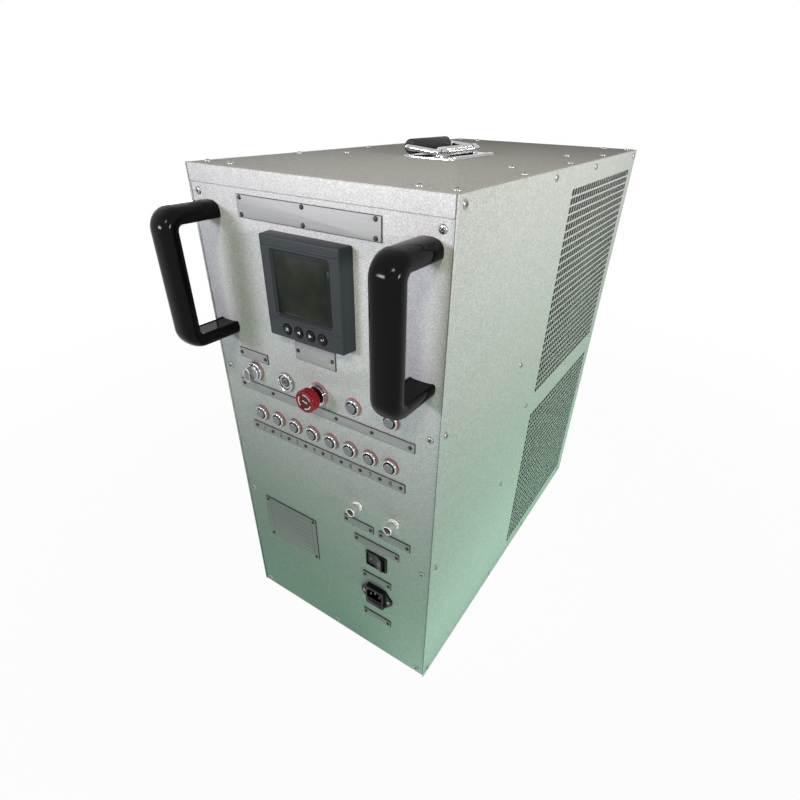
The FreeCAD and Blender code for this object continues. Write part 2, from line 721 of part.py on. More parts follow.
def estop_collar():
    """Collar of the emergency stop, bored for its stem."""
    bore = corner_radius(ESTOP_STEM_R + RUNNING, LARGE_SIDES)
    outline = ((bore, -BARREL_LENGTH), (BIG_BARREL_R, -BARREL_LENGTH), (BIG_BARREL_R, SEAL_T),
               (ESTOP_COLLAR_R, SEAL_T), (ESTOP_COLLAR_R - BEZEL_DRAFT, ESTOP_COLLAR_FRONT),
               (bore, ESTOP_COLLAR_FRONT))
    return flat_sided(ESTOP, outline, LARGE_SIDES)


def estop_stem():
    """Stem of the emergency stop, pushed in along its axis."""
    back = -BARREL_LENGTH + ESTOP_TRAVEL + PLAY
    return panel_prism(ESTOP, ESTOP_STEM_R, LARGE_SIDES, back, ESTOP_HEAD_FRONT - ESTOP_CROWN)


def estop_head():
    """Mushroom head that turns on the stem to release it."""
    bore = corner_radius(ESTOP_STEM_R + RUNNING, LARGE_SIDES)
    back = ESTOP_HEAD_BACK
    front = ESTOP_HEAD_FRONT
    floor = front - ESTOP_CROWN + PLAY
    r = ESTOP_HEAD_R
    outline = ((bore, back), (r - ESTOP_NECK, back), (r, back + ESTOP_FLARE),
               (r, front - ESTOP_EDGE), (r - ESTOP_EDGE, front), (0.0, front - ESTOP_HOLLOW),
               (0.0, floor), (bore, floor))
    return flat_sided(ESTOP, outline, LARGE_SIDES)


# ---------------------------------------------------------------- sockets
def socket_shells():
    """Two round signal sockets: tubes with a flange on the panel."""
    outline = ((SOCKET_BORE_R, -SOCKET_TAIL), (SOCKET_R, -SOCKET_TAIL), (SOCKET_R, 0),
               (SOCKET_FLANGE_R, 0), (SOCKET_FLANGE_R, SOCKET_FLANGE_T),
               (SOCKET_R, SOCKET_FLANGE_T), (SOCKET_R, SOCKET_PROUD),
               (SOCKET_BORE_R, SOCKET_PROUD))
    return group([flat_sided((x, SOCKET_Z), outline) for x in SOCKETS_X])


def socket_inserts():
    """Insulating inserts with their contact pins, inside the sockets."""
    inserts = []
    front = SOCKET_PROUD - SOCKET_RECESS
    for x in SOCKETS_X:
        pieces = [panel_prism((x, SOCKET_Z), SOCKET_BORE_R, SMALL_SIDES, -SOCKET_TAIL, front)]
        for i in range(SOCKET_PINS):
            angle = 2 * math.pi * (i + 0.5) / SOCKET_PINS
            place = (x + SOCKET_PIN_PCR * math.cos(angle), SOCKET_Z + SOCKET_PIN_PCR * math.sin(angle))
            pieces.append(panel_block(place, SOCKET_PIN_W, SOCKET_PIN_W, front,
                                      front + SOCKET_PIN_OUT))
        inserts.append(join(pieces))
    return group(inserts)


# ---------------------------------------------------------------- rocker switch
def rocker_body_size():
    """Outer width and height of the part of the rocker frame behind the panel."""
    return (ROCKER_W - 2 * ROCKER_LIP, ROCKER_H - 2 * ROCKER_LIP)


def rocker_pocket_height():
    """Inside height of the rocker frame, along the paddle's axis."""
    return ROCKER_H - 2 * ROCKER_RIM


def rocker_frame():
    """Switch body with its rim, a pocket for the paddle and bores for its pins."""
    place = (SUPPLY_X, ROCKER_Z)
    w, h = rocker_body_size()
    rim = panel_block(place, ROCKER_W, ROCKER_H, 0.0, ROCKER_RIM_PROUD)
    body = panel_block(place, w, h, -ROCKER_DEPTH, 0.0)
    pocket = panel_block(place, ROCKER_W - 2 * ROCKER_RIM, rocker_pocket_height(),
                         -ROCKER_POCKET_DEPTH, ROCKER_RIM_PROUD)
    length = rocker_pocket_height() + 2 * (ROCKER_PIN_OUT + PLAY)
    return join([rim, body]).cut([pocket, rocker_pin(ROCKER_PIN_R + RUNNING, length)])


def rocker_pin(radius, length):
    """Upright rod on the paddle's axis."""
    y = FACE_Y + ROCKER_PIVOT_DEPTH
    return Part.makeCylinder(radius, length, V(SUPPLY_X, y, ROCKER_Z - length / 2), V(0, 0, 1))


def rocker_paddle():
    """Paddle with a dished front, tipped to one side about its upright pins."""
    half = ROCKER_W / 2 - ROCKER_RIM - PADDLE_SWING
    points = ((-half, PADDLE_END), (0.0, PADDLE_END - PADDLE_DISH), (half, PADDLE_END),
              (half, 0.0), (PADDLE_FOOT_W, -PADDLE_FOOT), (-PADDLE_FOOT_W, -PADDLE_FOOT),
              (-half, 0.0))
    tall = rocker_pocket_height() - 2 * PLAY
    z0 = ROCKER_Z - tall / 2
    face = polygon_face([V(SUPPLY_X + px, FACE_Y - proud, z0) for px, proud in points])
    pin = rocker_pin(ROCKER_PIN_R, rocker_pocket_height() + 2 * ROCKER_PIN_OUT)
    paddle = join([face.extrude(V(0, 0, tall)), pin])
    paddle.rotate(V(SUPPLY_X, FACE_Y + ROCKER_PIVOT_DEPTH, 0), V(0, 0, 1), -ROCKER_TILT)
    return paddle


# ---------------------------------------------------------------- mains inlet
def inlet_housing():
    """Appliance inlet with two ears, a shrouded socket and a fuse drawer slot."""
    x, z = SUPPLY_X, INLET_Z
    tip = INLET_EAR_SPAN / 2
    shoulder_x = INLET_BOX_W / 2
    shoulder_z = INLET_BOX_H / 2
    ear_z = 3.5
    outline = ((-shoulder_x, shoulder_z), (shoulder_x, shoulder_z), (tip, ear_z), (tip, -ear_z),
               (shoulder_x, -shoulder_z), (-shoulder_x, -shoulder_z), (-tip, -ear_z), (-tip, ear_z))
    wire = [V(x + px, FACE_Y, z + pz) for px, pz in outline]
    flange = Part.Face(Part.makePolygon(wire + [wire[0]])).extrude(V(0, -INLET_FLANGE_T, 0))
    front = panel_block((x, z), INLET_BOX_W, INLET_BOX_H, INLET_FLANGE_T, INLET_PROUD)
    body = panel_block((x, z), INLET_BOX_W, INLET_BOX_H, -INLET_DEPTH, 0.0)
    housing = join([flange, front, body])
    socket = inlet_socket_prism(INLET_PROUD - INLET_SOCKET_DEPTH, INLET_PROUD)
    slot = panel_block((x, z - DRAWER_DROP), DRAWER_W + 2 * PLAY, DRAWER_H + 2 * PLAY,
                       INLET_PROUD - DRAWER_LENGTH - PLAY, INLET_PROUD)
    return housing.cut([socket, slot])


def inlet_socket_prism(back, front):
    """Space of the inlet's socket: a rectangle with two cut corners."""
    x = SUPPLY_X
    z = INLET_Z + INLET_SOCKET_RISE
    w = INLET_SOCKET_W / 2
    h = INLET_SOCKET_H / 2
    cut = 4.5
    outline = ((-w, -h), (w, -h), (w, h - cut), (w - cut, h), (-w + cut, h), (-w, h - cut))
    wire = [V(x + px, FACE_Y - back, z + pz) for px, pz in outline]
    return Part.Face(Part.makePolygon(wire + [wire[0]])).extrude(V(0, back - front, 0))


def inlet_pins():
    """Three contact blades of the inlet."""
    floor = INLET_PROUD - INLET_SOCKET_DEPTH
    z = INLET_Z + INLET_SOCKET_RISE
    places = ((-INLET_PIN_PITCH / 2, -2.0), (0.0, 2.0), (INLET_PIN_PITCH / 2, -2.0))
    return group([panel_block((SUPPLY_X + dx, z + dz), 2.0, 4.0, floor, INLET_PROUD - 2.5)
                  for dx, dz in places])


def fuse_drawer():
    """Sliding fuse carrier with two hollow bays."""
    x = SUPPLY_X
    z = INLET_Z - DRAWER_DROP
    back = INLET_PROUD - DRAWER_LENGTH
    front = INLET_PROUD + 0.8
    drawer = panel_block((x, z), DRAWER_W, DRAWER_H, back, front)
    bay = panel_block((x, z + 1.0), DRAWER_W - 4.0, DRAWER_H - 2.0, back + 3.0, front - 4.0)
    notch = panel_block((x, z + DRAWER_H / 2), 8.0, 2.4, front - 1.2, front)
    return drawer.cut([bay, notch])


# ---------------------------------------------------------------- lifting handle
def lift_plate():
    """Base plate with two knuckles that hold the bail's wire."""
    base = block(-LIFT_PLATE_W / 2, LIFT_PLATE_W / 2, LIFT_Y - LIFT_PLATE_L / 2,
                 LIFT_Y + LIFT_PLATE_L / 2, HEIGHT, HEIGHT + LIFT_PLATE_T)
    base = fillet_where(base, 5.0, lambda e: e.BoundBox.ZLength > 1)
    parts = [base]
    bores = []
    half = LIFT_KNUCKLE_R * math.cos(math.pi / LARGE_SIDES)
    for y0 in knuckle_starts():
        near = FACE_Y - y0
        far = near - LIFT_KNUCKLE_L
        outline = ((0, far), (LIFT_KNUCKLE_R, far), (LIFT_KNUCKLE_R, near), (0, near))
        parts.append(flat_sided((LIFT_AXIS_X, LIFT_AXIS_Z), outline, LARGE_SIDES))
        parts.append(block(LIFT_AXIS_X - half, LIFT_AXIS_X + half, y0, y0 + LIFT_KNUCKLE_L, HEIGHT,
                           LIFT_AXIS_Z))
        bores.append(Part.makeCylinder(LIFT_WIRE_R + RUNNING, LIFT_KNUCKLE_L,
                                       V(LIFT_AXIS_X, y0, LIFT_AXIS_Z), V(0, 1, 0)))
    return join(parts).cut(bores)


def knuckle_starts():
    """Near ends (y) of the two knuckles."""
    outer = LIFT_LEG_PITCH / 2 - LIFT_WIRE_R - LIFT_KNUCKLE_PLAY
    return (LIFT_Y - outer, LIFT_Y + outer - LIFT_KNUCKLE_L)


def lift_bail():
    """Closed wire loop: hinge side, two legs and the side that carries the grip."""
    rise = GRIP_Z - LIFT_AXIS_Z
    reach = math.hypot(LIFT_REACH, rise)
    half = LIFT_LEG_PITCH / 2
    cut = LIFT_BEND
    corners = [V(0, -half, 0), V(0, half, 0), V(-reach + cut, half, 0), V(-reach, half - cut, 0),
               V(-reach, -half + cut, 0), V(-reach + cut, -half, 0)]
    path = Part.makePolygon(corners + [corners[0]])
    section = Part.Wire(Part.makeCircle(LIFT_WIRE_R, V(0, 0, 0), V(0, 1, 0)))
    loop = path.makePipeShell([section], True, False, 1)
    loop.rotate(V(0, 0, 0), V(0, 1, 0), math.degrees(math.atan2(rise, LIFT_REACH)))
    loop.translate(V(LIFT_AXIS_X, LIFT_Y, LIFT_AXIS_Z))
    return loop


def lift_grip():
    """Rubber grip on the far side of the bail."""
    bore = corner_radius(LIFT_WIRE_R, LARGE_SIDES)
    near = FACE_Y - LIFT_Y + GRIP_LENGTH / 2
    far = near - GRIP_LENGTH
    outline = ((bore, far), (GRIP_R - GRIP_EDGE, far), (GRIP_R, far + GRIP_EDGE),
               (GRIP_R, near - GRIP_EDGE), (GRIP_R - GRIP_EDGE, near), (bore, near))
    return flat_sided((GRIP_X, GRIP_Z), outline, LARGE_SIDES)


def lift_spring():
    """Torsion spring around the hinge wire, as the sleeve that its close turns fill."""
    starts = knuckle_starts()
    near = FACE_Y - starts[0] - LIFT_KNUCKLE_L - PLAY
    far = FACE_Y - starts[1] + PLAY
    bore = corner_radius(LIFT_WIRE_R + SPRING_GAP, LARGE_SIDES)
    outline = ((bore, far), (LIFT_KNUCKLE_R, far), (LIFT_KNUCKLE_R, near), (bore, near))
    return flat_sided((LIFT_AXIS_X, LIFT_AXIS_Z), outline, LARGE_SIDES)


# ---------------------------------------------------------------- fans
def prism_along_x(start, radius, sides, length):
    """Regular prism towards +X; radius is to its corners."""
    turn = [2 * math.pi * (i + 0.5) / sides for i in range(sides)]
    section = polygon_face([start + V(0, radius * math.cos(a), radius * math.sin(a)) for a in turn])
    return section.extrude(V(length, 0, 0))


def fan_frames():
    """Two square fan frames with a round throat, four arms and a motor each."""
    frames = []
    x0 = -INNER_X
    x_arm = x0 + FAN_DEPTH
    half = FAN_SIZE / 2
    axis = V(1, 0, 0)
    for z in GRILLE_Z:
        ring = block(x0, x_arm, GRILLE_Y - half, GRILLE_Y + half, z - half, z + half)
        ring = ring.cut(prism_along_x(V(x0, GRILLE_Y, z), FAN_BORE_R, FAN_SIDES, FAN_DEPTH))
        motor = block(x_arm, x_arm + MOTOR_DEPTH, GRILLE_Y - MOTOR_W / 2, GRILLE_Y + MOTOR_W / 2,
                      z - MOTOR_W / 2, z + MOTOR_W / 2)
        parts = [ring, motor]
        for turn in (45, 135):
            arm = block(x_arm, x_arm + SPIDER_T, GRILLE_Y - half * 1.15, GRILLE_Y + half * 1.15,
                        z - SPIDER_W / 2, z + SPIDER_W / 2)
            arm.rotate(V(0, GRILLE_Y, z), axis, turn)
            parts.append(arm)
        shaft_bore = Part.makeCylinder(FAN_SHAFT_R + RUNNING, MOTOR_DEPTH / 2, V(x_arm, GRILLE_Y, z),
                                       axis)
        frames.append(join(parts).cut(shaft_bore))
    return group(frames)


def fan_blade():
    """Cambered plate along +Z that widens towards its tip, with the shaft's axis at the origin."""
    half = BLADE_TIP_CHORD / 2
    root = FAN_HUB_R * BLADE_ROOT

    def curve(shift, way):
        steps = [way * (2 * i / BLADE_FLATS - 1) for i in range(BLADE_FLATS + 1)]
        return [V(shift + BLADE_CAMBER * (1 - t * t), half * t, root) for t in steps]

    section = polygon_face(curve(0, 1) + curve(FAN_BLADE_T, -1))
    blade = section.extrude(V(0, 0, FAN_BLADE_R - root))
    narrow = (BLADE_TIP_CHORD - BLADE_ROOT_CHORD) / 2
    for side in (-1, 1):
        flank = polygon_face([V(-half, side * half, root), V(-half, side * (half - narrow), root),
                              V(-half, side * half, FAN_BLADE_R)])
        blade = blade.cut(flank.extrude(V(BLADE_TIP_CHORD, 0, 0)))
    blade.rotate(V(0, 0, 0), V(0, 0, 1), -BLADE_PITCH)
    return blade


def fan_rotor(centre_z):
    """Hub, cambered blades and shaft of one fan."""
    x0 = -INNER_X + FAN_SETBACK
    axis = V(1, 0, 0)
    centre = V(x0 + FAN_HUB_T / 2, GRILLE_Y, centre_z)
    hub = prism_along_x(V(x0, GRILLE_Y, centre_z), FAN_HUB_R, LARGE_SIDES, FAN_HUB_T)
    shaft_length = FAN_DEPTH - FAN_SETBACK - FAN_HUB_T + MOTOR_DEPTH / 2 - PLAY
    shaft = Part.makeCylinder(FAN_SHAFT_R, shaft_length, V(x0 + FAN_HUB_T, GRILLE_Y, centre_z), axis)
    parts = [hub, shaft]
    for i in range(FAN_BLADES):
        blade = fan_blade()
        blade.translate(centre)
        blade.rotate(centre, axis, 360.0 * i / FAN_BLADES)
        parts.append(blade)
    return join(parts)


def fan_rotor_lower():
    """Rotor of the lower fan."""
    return fan_rotor(GRILLE_Z[0])


def fan_rotor_upper():
    """Rotor of the upper fan."""
    return fan_rotor(GRILLE_Z[1])


# ---------------------------------------------------------------- resistors and contactors
def element_places():
    """Centres (x, z) of the resistor elements, staggered across the air flow."""
    x0, x1 = RACK_X
    step_x = (x1 - x0) / ELEMENT_COLUMNS
    low = TRAY_FLANGE
    step_z = (RACK_TOP - low) / ELEMENT_ROWS
    places = []
    for column in range(ELEMENT_COLUMNS):
        lift = 0.3 + 0.4 * (column % 2)
        for row in range(ELEMENT_ROWS):
            places.append((x0 + (column + 0.5) * step_x, low + (row + lift) * step_z))
    return places


def resistor_rack():
    """Two end plates that hold the elements between them, tied by two rails on the tray."""
    x0, x1 = RACK_X
    y0, y1 = RACK_Y
    plates = [block(x0, x1, y0, y0 + SHEET, SHEET, RACK_TOP),
              block(x0, x1, y1 - SHEET, y1, SHEET, RACK_TOP)]
    rails = [block(x, x + RACK_RAIL_W, y0, y1, SHEET, 2 * SHEET) for x in (x0, x1 - RACK_RAIL_W)]
    return join(plates + rails)


def resistor_elements():
    """Finned resistor elements seated between the rack's end plates."""
    y0 = RACK_Y[0] + SHEET
    y1 = RACK_Y[1] - SHEET
    return group([block(x - ELEMENT_W / 2, x + ELEMENT_W / 2, y0, y1, z - ELEMENT_H / 2,
                        z + ELEMENT_H / 2) for x, z in element_places()])


def contactors():
    """Rows of contactors on their rails, in front of the bulkhead."""
    solids = []
    back = MID_POST_Y - SHEET
    per_row = int(DIN_RAIL_L // CONTACTOR_PITCH)
    for z in CONTACTOR_ROWS_Z:
        solids.append(block(-DIN_RAIL_L / 2, DIN_RAIL_L / 2, back - DIN_RAIL_D, back,
                            z - DIN_RAIL_H / 2, z + DIN_RAIL_H / 2))
        for i in range(per_row):
            x = (i - (per_row - 1) / 2) * CONTACTOR_PITCH
            front = back - DIN_RAIL_D - CONTACTOR_D
            body = block(x - CONTACTOR_W / 2, x + CONTACTOR_W / 2, front, back - DIN_RAIL_D,
                         z - CONTACTOR_H / 2, z + CONTACTOR_H / 2)
            nose = block(x - CONTACTOR_W / 4, x + CONTACTOR_W / 4, front - 12.0, front,
                         z - CONTACTOR_H / 4, z + CONTACTOR_H / 4)
            solids.append(join([body, nose]))
    return group(solids)


# ---------------------------------------------------------------- rear terminals
def terminal_places():
    """Stud centres (x)."""
    return [(i - (TERMINAL_COUNT - 1) / 2) * TERMINAL_PITCH for i in range(TERMINAL_COUNT)]


def terminal_neck(x, play, y0, y1):
    """Square neck of a stud, or its hole in the board."""
    half = TERMINAL_STUD_R + play
    return block(x - half, x + half, y0, y1, TERMINAL_Z - half, TERMINAL_Z + half)


def terminal_board():
    """Insulating board over the rear window, with square holes for the studs."""
    face = REAR_Y + TERMINAL_BOARD_T
    board = block(-TERMINAL_BOARD_W / 2, TERMINAL_BOARD_W / 2, REAR_Y, face,
                  TERMINAL_Z - TERMINAL_BOARD_H / 2, TERMINAL_Z + TERMINAL_BOARD_H / 2)
    return board.cut([terminal_neck(x, 0.0, REAR_Y, face) for x in terminal_places()])


def terminal_studs():
    """Studs with square necks through the board, each clamped by a nut."""
    studs = []
    face = REAR_Y + TERMINAL_BOARD_T
    for x in terminal_places():
        neck = terminal_neck(x, 0.0, REAR_Y - TERMINAL_STUD_IN, face)
        stud = Part.makeCylinder(TERMINAL_STUD_R, TERMINAL_STUD_OUT, V(x, face, TERMINAL_Z),
                                 V(0, 1, 0))
        nut = hexagon_along_y(x, TERMINAL_Z, TERMINAL_NUT_FLATS, face, face + TERMINAL_NUT_T)
        studs.append(join([neck, stud, nut]))
    return group(studs)


def hexagon_along_y(x, z, flats, y0, y1):
    """Hexagonal prism between two depths."""
    r = corner_radius(flats / 2, 6)
    turn = [math.pi / 3 * i for i in range(6)]
    points = [V(x + r * math.cos(a), y0, z + r * math.sin(a)) for a in turn]
    return Part.Face(Part.makePolygon(points + [points[0]])).extrude(V(0, y1 - y0, 0))


# ---------------------------------------------------------------- sub-parts
NODES = {
    "base_tray": base_tray, "cabinet_frame": cabinet_frame, "bulkhead": bulkhead,
    "front_panel": front_panel, "rear_panel": rear_panel, "side_panel_right": side_panel_right,
    "side_panel_left": side_panel_left, "top_cover": top_cover,
    "front_handle_left": front_handle_left, "front_handle_right": front_handle_right,
    "name_plate": name_plate, "data_plate": data_plate, "label_strips": label_strips,
    "meter_case": meter_case, "meter_window": meter_window,
    "button_bezels": button_bezels, "control_seals": control_seals, "switch_blocks": switch_blocks,
    "selector_bezel": selector_bezel, "selector_knob": selector_knob,
    "fault_lamp_bezel": fault_lamp_bezel, "fault_lamp_lens": fault_lamp_lens,
    "estop_collar": estop_collar, "estop_stem": estop_stem, "estop_head": estop_head,
    "socket_shells": socket_shells, "socket_inserts": socket_inserts,
    "rocker_frame": rocker_frame, "rocker_paddle": rocker_paddle,
    "inlet_housing": inlet_housing, "inlet_pins": inlet_pins, "fuse_drawer": fuse_drawer,
    "lift_plate": lift_plate, "lift_bail": lift_bail, "lift_grip": lift_grip,
    "lift_spring": lift_spring, "fan_frames": fan_frames, "fan_rotor_lower": fan_rotor_lower,
    "fan_rotor_upper": fan_rotor_upper, "resistor_rack": resistor_rack,
    "resistor_elements": resistor_elements, "contactors": contactors,
    "terminal_board": terminal_board, "terminal_studs": terminal_studs,
}


def main():
    """Write every sub-part to its own file."""
    os.makedirs("parts", exist_ok=True)
    shapes = {name: make() for name, make in NODES.items()}
    for i in range(4):
        shapes["meter_key_%d" % (i + 1)] = meter_key(i)
    names = ["fan_button_cap", "load_button_cap"]
    names += ["stage_button_cap_%d" % (i + 1) for i in range(STAGE_COUNT)]
    for i, name in enumerate(names):
        shapes[name] = button_cap(i)
    for name, shape in shapes.items():
        shape.exportStep("parts/" + name + ".step")


main()
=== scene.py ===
"""Looks of the portable load bank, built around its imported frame.

Places and sizes are read from the frame's nodes. Local shapes are made in millimetres on a face, with
u to the right, v upwards and w out of the face, and are then placed in metres.
"""
import math

import bmesh
import bpy
from mathutils import Euler, Matrix, Vector
from mathutils.geometry import tessellate_polygon


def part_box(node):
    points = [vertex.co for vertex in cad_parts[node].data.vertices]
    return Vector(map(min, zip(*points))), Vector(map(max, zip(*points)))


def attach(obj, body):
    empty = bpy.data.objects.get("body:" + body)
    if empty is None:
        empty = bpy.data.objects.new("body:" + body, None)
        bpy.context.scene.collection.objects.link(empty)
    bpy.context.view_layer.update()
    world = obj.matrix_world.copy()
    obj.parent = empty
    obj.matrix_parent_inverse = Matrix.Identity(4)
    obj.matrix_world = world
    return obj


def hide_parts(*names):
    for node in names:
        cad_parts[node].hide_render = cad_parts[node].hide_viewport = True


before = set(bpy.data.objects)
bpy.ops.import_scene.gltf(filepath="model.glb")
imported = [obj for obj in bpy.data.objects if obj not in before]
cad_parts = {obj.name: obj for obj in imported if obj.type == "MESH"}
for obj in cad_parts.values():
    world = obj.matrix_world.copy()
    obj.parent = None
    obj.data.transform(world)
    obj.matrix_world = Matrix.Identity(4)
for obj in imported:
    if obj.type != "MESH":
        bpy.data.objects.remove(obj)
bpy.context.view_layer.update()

MM = 0.001
AXIS_R = 0.001             # millimetres; radius of a ring that stands for a point on the axis
X, Y, Z = Vector((1, 0, 0)), Vector((0, 1, 0)), Vector((0, 0, 1))


# ------------------------------------------------------------------ places
def lo(node):
    """Lowest corner of a CAD node, in metres."""
    return Vector(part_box(node)[0])


def hi(node):
    """Highest corner of a CAD node, in metres."""
    return Vector(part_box(node)[1])


def mid(node):
    """Centre of a CAD node's box, in metres."""
    return (lo(node) + hi(node)) / 2


def size(node):
    """Size of a CAD node's box, in millimetres."""
    return (hi(node) - lo(node)) / MM


FACE_Y = lo("front_panel").y
REAR_Y = hi("rear_panel").y
TOP_Z = hi("top_cover").z
RIGHT_X = hi("side_panel_right").x
SHEET = size("side_panel_right").x
CAPS = ["fan_button_cap", "load_button_cap"] + ["stage_button_cap_%d" % i for i in range(1, 9)]
METER_KEYS = ["meter_key_%d" % i for i in range(1, 5)]


def front_w(node):
    """Height of a node's front above the front panel, in millimetres."""
    return (FACE_Y - lo(node).y) / MM


def back_w(node):
    """Height of a node's back above the front panel; below zero behind the panel's face."""
    return (FACE_Y - hi(node).y) / MM


def on(origin, u, v):
    """Matrix from local millimetres on a face to metres; w is u cross v."""
    m = Matrix((u, v, u.cross(v))).transposed().to_4x4()
    return Matrix.Translation(origin) @ m @ Matrix.Scale(MM, 4)


def front(x, z):
    """Place on the front panel; w points to the viewer."""
    return on(Vector((x, FACE_Y, z)), X, Z)


def right(y, z):
    """Place on the right side panel."""
    return on(Vector((RIGHT_X, y, z)), Y, Z)


def left(y, z):
    """Place on the left side panel."""
    return on(Vector((-RIGHT_X, y, z)), -Y, Z)


def rear(x, z):
    """Place on the rear panel."""
    return on(Vector((x, REAR_Y, z)), -X, Z)


def top(x, y):
    """Place on the top cover."""
    return on(Vector((x, y, TOP_Z)), X, Y)


def on_front(node):
    """Place on the front panel at the middle of a CAD node."""
    return front(mid(node).x, mid(node).z)


def shifted(place, u, v, w):
    """The same place, moved by local millimetres."""
    return place @ Matrix.Translation((u, v, w))


def turned(place, degrees):
    """The same place, turned about its own w."""
    return place @ Matrix.Rotation(math.radians(degrees), 4, "Z")


# ------------------------------------------------------------------ shapes: (points, faces)
def arc(r, start, end, steps, cu=0.0, cv=0.0):
    """Points along an arc between two angles in degrees."""
    angles = [math.radians(start + (end - start) * i / steps) for i in range(steps + 1)]
    return [(cu + r * math.cos(a), cv + r * math.sin(a)) for a in angles]


def circle(r, n=48):
    """Points round a circle."""
    return arc(r, 0, 360, n)[:-1]


def rounded_rect(w, h, r, n=6):
    """Outline of a rectangle with round corners, anticlockwise."""
    points = []
    for su, sv, start in ((1, 1, 0), (-1, 1, 90), (-1, -1, 180), (1, -1, 270)):
        points += arc(r, start, start + 90, n, su * (w / 2 - r), sv * (h / 2 - r))
    return points


def shrunk(outline, by, cu=0.0, cv=0.0):
    """Outline drawn in towards a centre; its farthest point moves by the given length."""
    scale = 1 - by / max(math.hypot(u - cu, v - cv) for u, v in outline)
    return [(cu + (u - cu) * scale, cv + (v - cv) * scale) for u, v in outline]


def flat_ring(outline, w):
    """An outline at one height."""
    return [(u, v, w) for u, v in outline]


def loft(rings, close_low=True, close_high=True):
    """Skin through rings of (u, v, w) points, each with as many points."""
    n = len(rings[0])
    points = [p for ring in rings for p in ring]
    faces = []
    for a in range(0, len(points) - n, n):
        faces += [(a + i, a + (i + 1) % n, a + n + (i + 1) % n, a + n + i) for i in range(n)]
    if close_low:
        faces.append(tuple(range(n))[::-1])
    if close_high:
        faces.append(tuple(range(len(points) - n, len(points))))
    return points, faces


def looped(rings):
    """Skin through rings that comes back to the first one."""
    return loft(rings + rings[:1], False, False)


def lathe(profile, n=48):
    """Body turned about w from (radius, w) points that run from low to high along the outside."""
    return loft([flat_ring(circle(max(r, AXIS_R), n), w) for r, w in profile])


def tube(profile, n=48):
    """Ring turned about w from a closed (radius, w) profile."""
    return looped([flat_ring(circle(r, n), w) for r, w in profile])


def slab(w, h, low, high, corner, bevel, centre=(0.0, 0.0)):
    """Plate with round corners and a bevelled upper edge."""
    cu, cv = centre

    def ring(inset, level):
        outline = rounded_rect(w - 2 * inset, h - 2 * inset, max(corner - inset, 0.05))
        return [(u + cu, v + cv, level) for u, v in outline]

    soft = bevel * (1 - math.sqrt(0.5))
    return loft([ring(0, low), ring(0, high - bevel), ring(soft, high - soft), ring(bevel, high)])


def prism(outline, low, high, bevel):
    """Straight body over any convex outline, with a bevelled upper edge."""
    cu = sum(u for u, v in outline) / len(outline)
    cv = sum(v for u, v in outline) / len(outline)
    return loft([flat_ring(outline, low), flat_ring(outline, high - bevel),
                 flat_ring(shrunk(outline, bevel, cu, cv), high)])


def collar_frame(outer, inner, low, high, bevel, floor):
    """Straight-walled rim between two outlines of as many points."""
    return looped([flat_ring(outer, low), flat_ring(outer, high - bevel),
                   flat_ring(shrunk(outer, bevel), high), flat_ring(inner, high),
                   flat_ring(inner, floor)])


def pierced(outline, holes, w):
    """Flat face inside an outline, open where the holes are."""
    loops = [outline] + holes
    points = [(u, v, w) for loop in loops for u, v in loop]
    return points, tessellate_polygon([[(u, v, 0.0) for u, v in loop] for loop in loops])


def swept(path, section, closed=False):
    """Tube along (u, v, w) points, with a section of (side, up) offsets."""
    rings = []
    count = len(path)
    normal = None
    for i, p in enumerate(path):
        before = Vector(path[i - 1]) if i or closed else Vector(p)
        after = Vector(path[(i + 1) % count]) if i < count - 1 or closed else Vector(p)
        along = (after - before).normalized()
        if normal is None:
            normal = along.orthogonal()
        normal = (normal - along * normal.dot(along)).normalized()
        side = along.cross(normal)
        rings.append([tuple(Vector(p) + side * s + normal * t) for s, t in section])
    return looped(rings) if closed else loft(rings)


def moved(shape, du, dv, dw=0.0):
    """The same shape at another local place."""
    points, faces = shape
    return [(u + du, v + dv, w + dw) for u, v, w in points], faces


# ------------------------------------------------------------------ building pieces
class Build:
    """Collects shapes, each with a material, into one piece."""

    def __init__(self, name, slot, node=None, place=None, body="cabinet", angle=35.0):
        self.name, self.slot_name, self.nodes = name, slot, [node] if node else []
        self.place, self.body, self.angle = place, body, angle
        self.points, self.faces, self.marks, self.materials = [], [], [], []

    def add(self, shape, material, place=None):
        """Adds a shape, at the piece's own place where no other is given."""
        points, faces = shape
        at = self.place if place is None else place
        if material not in self.materials:
            self.materials.append(material)
        start = len(self.points)
        self.points += [at @ Vector(p) for p in points]
        self.faces += [tuple(start + i for i in f) for f in faces]
        self.marks += [self.materials.index(material)] * len(faces)

    def done(self):
        """Makes the object, hangs it under its body's empty and hides the CAD nodes it stands for."""
        mesh = bpy.data.meshes.new(self.name)
        mesh.from_pydata(self.points, [], self.faces)
        for material in self.materials:
            mesh.materials.append(material)
        mesh.polygons.foreach_set("material_index", self.marks)
        mesh.validate()
        weld(mesh)
        mesh.shade_smooth()
        mesh.set_sharp_from_angle(angle=math.radians(self.angle))
        obj = bpy.data.objects.new(self.name, mesh)
        bpy.context.scene.collection.objects.link(obj)
        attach(obj, self.body)
        if self.nodes:
            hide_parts(*self.nodes)


def piece(name, slot, node, place, *parts, body="cabinet", angle=35.0):
    """One piece made of parts, each a shape with its material."""
    build = Build(name, slot, node, place, body, angle)
    for shape, material in parts:
        build.add(shape, material)
    build.done()


def weld(mesh):
    """Joins doubled points and makes the faces look outwards."""
    bm = bmesh.new()
    bm.from_mesh(mesh)
    bmesh.ops.remove_doubles(bm, verts=bm.verts, dist=1e-6)
    bmesh.ops.recalc_face_normals(bm, faces=bm.faces)
    bm.to_mesh(mesh)
    bm.free()


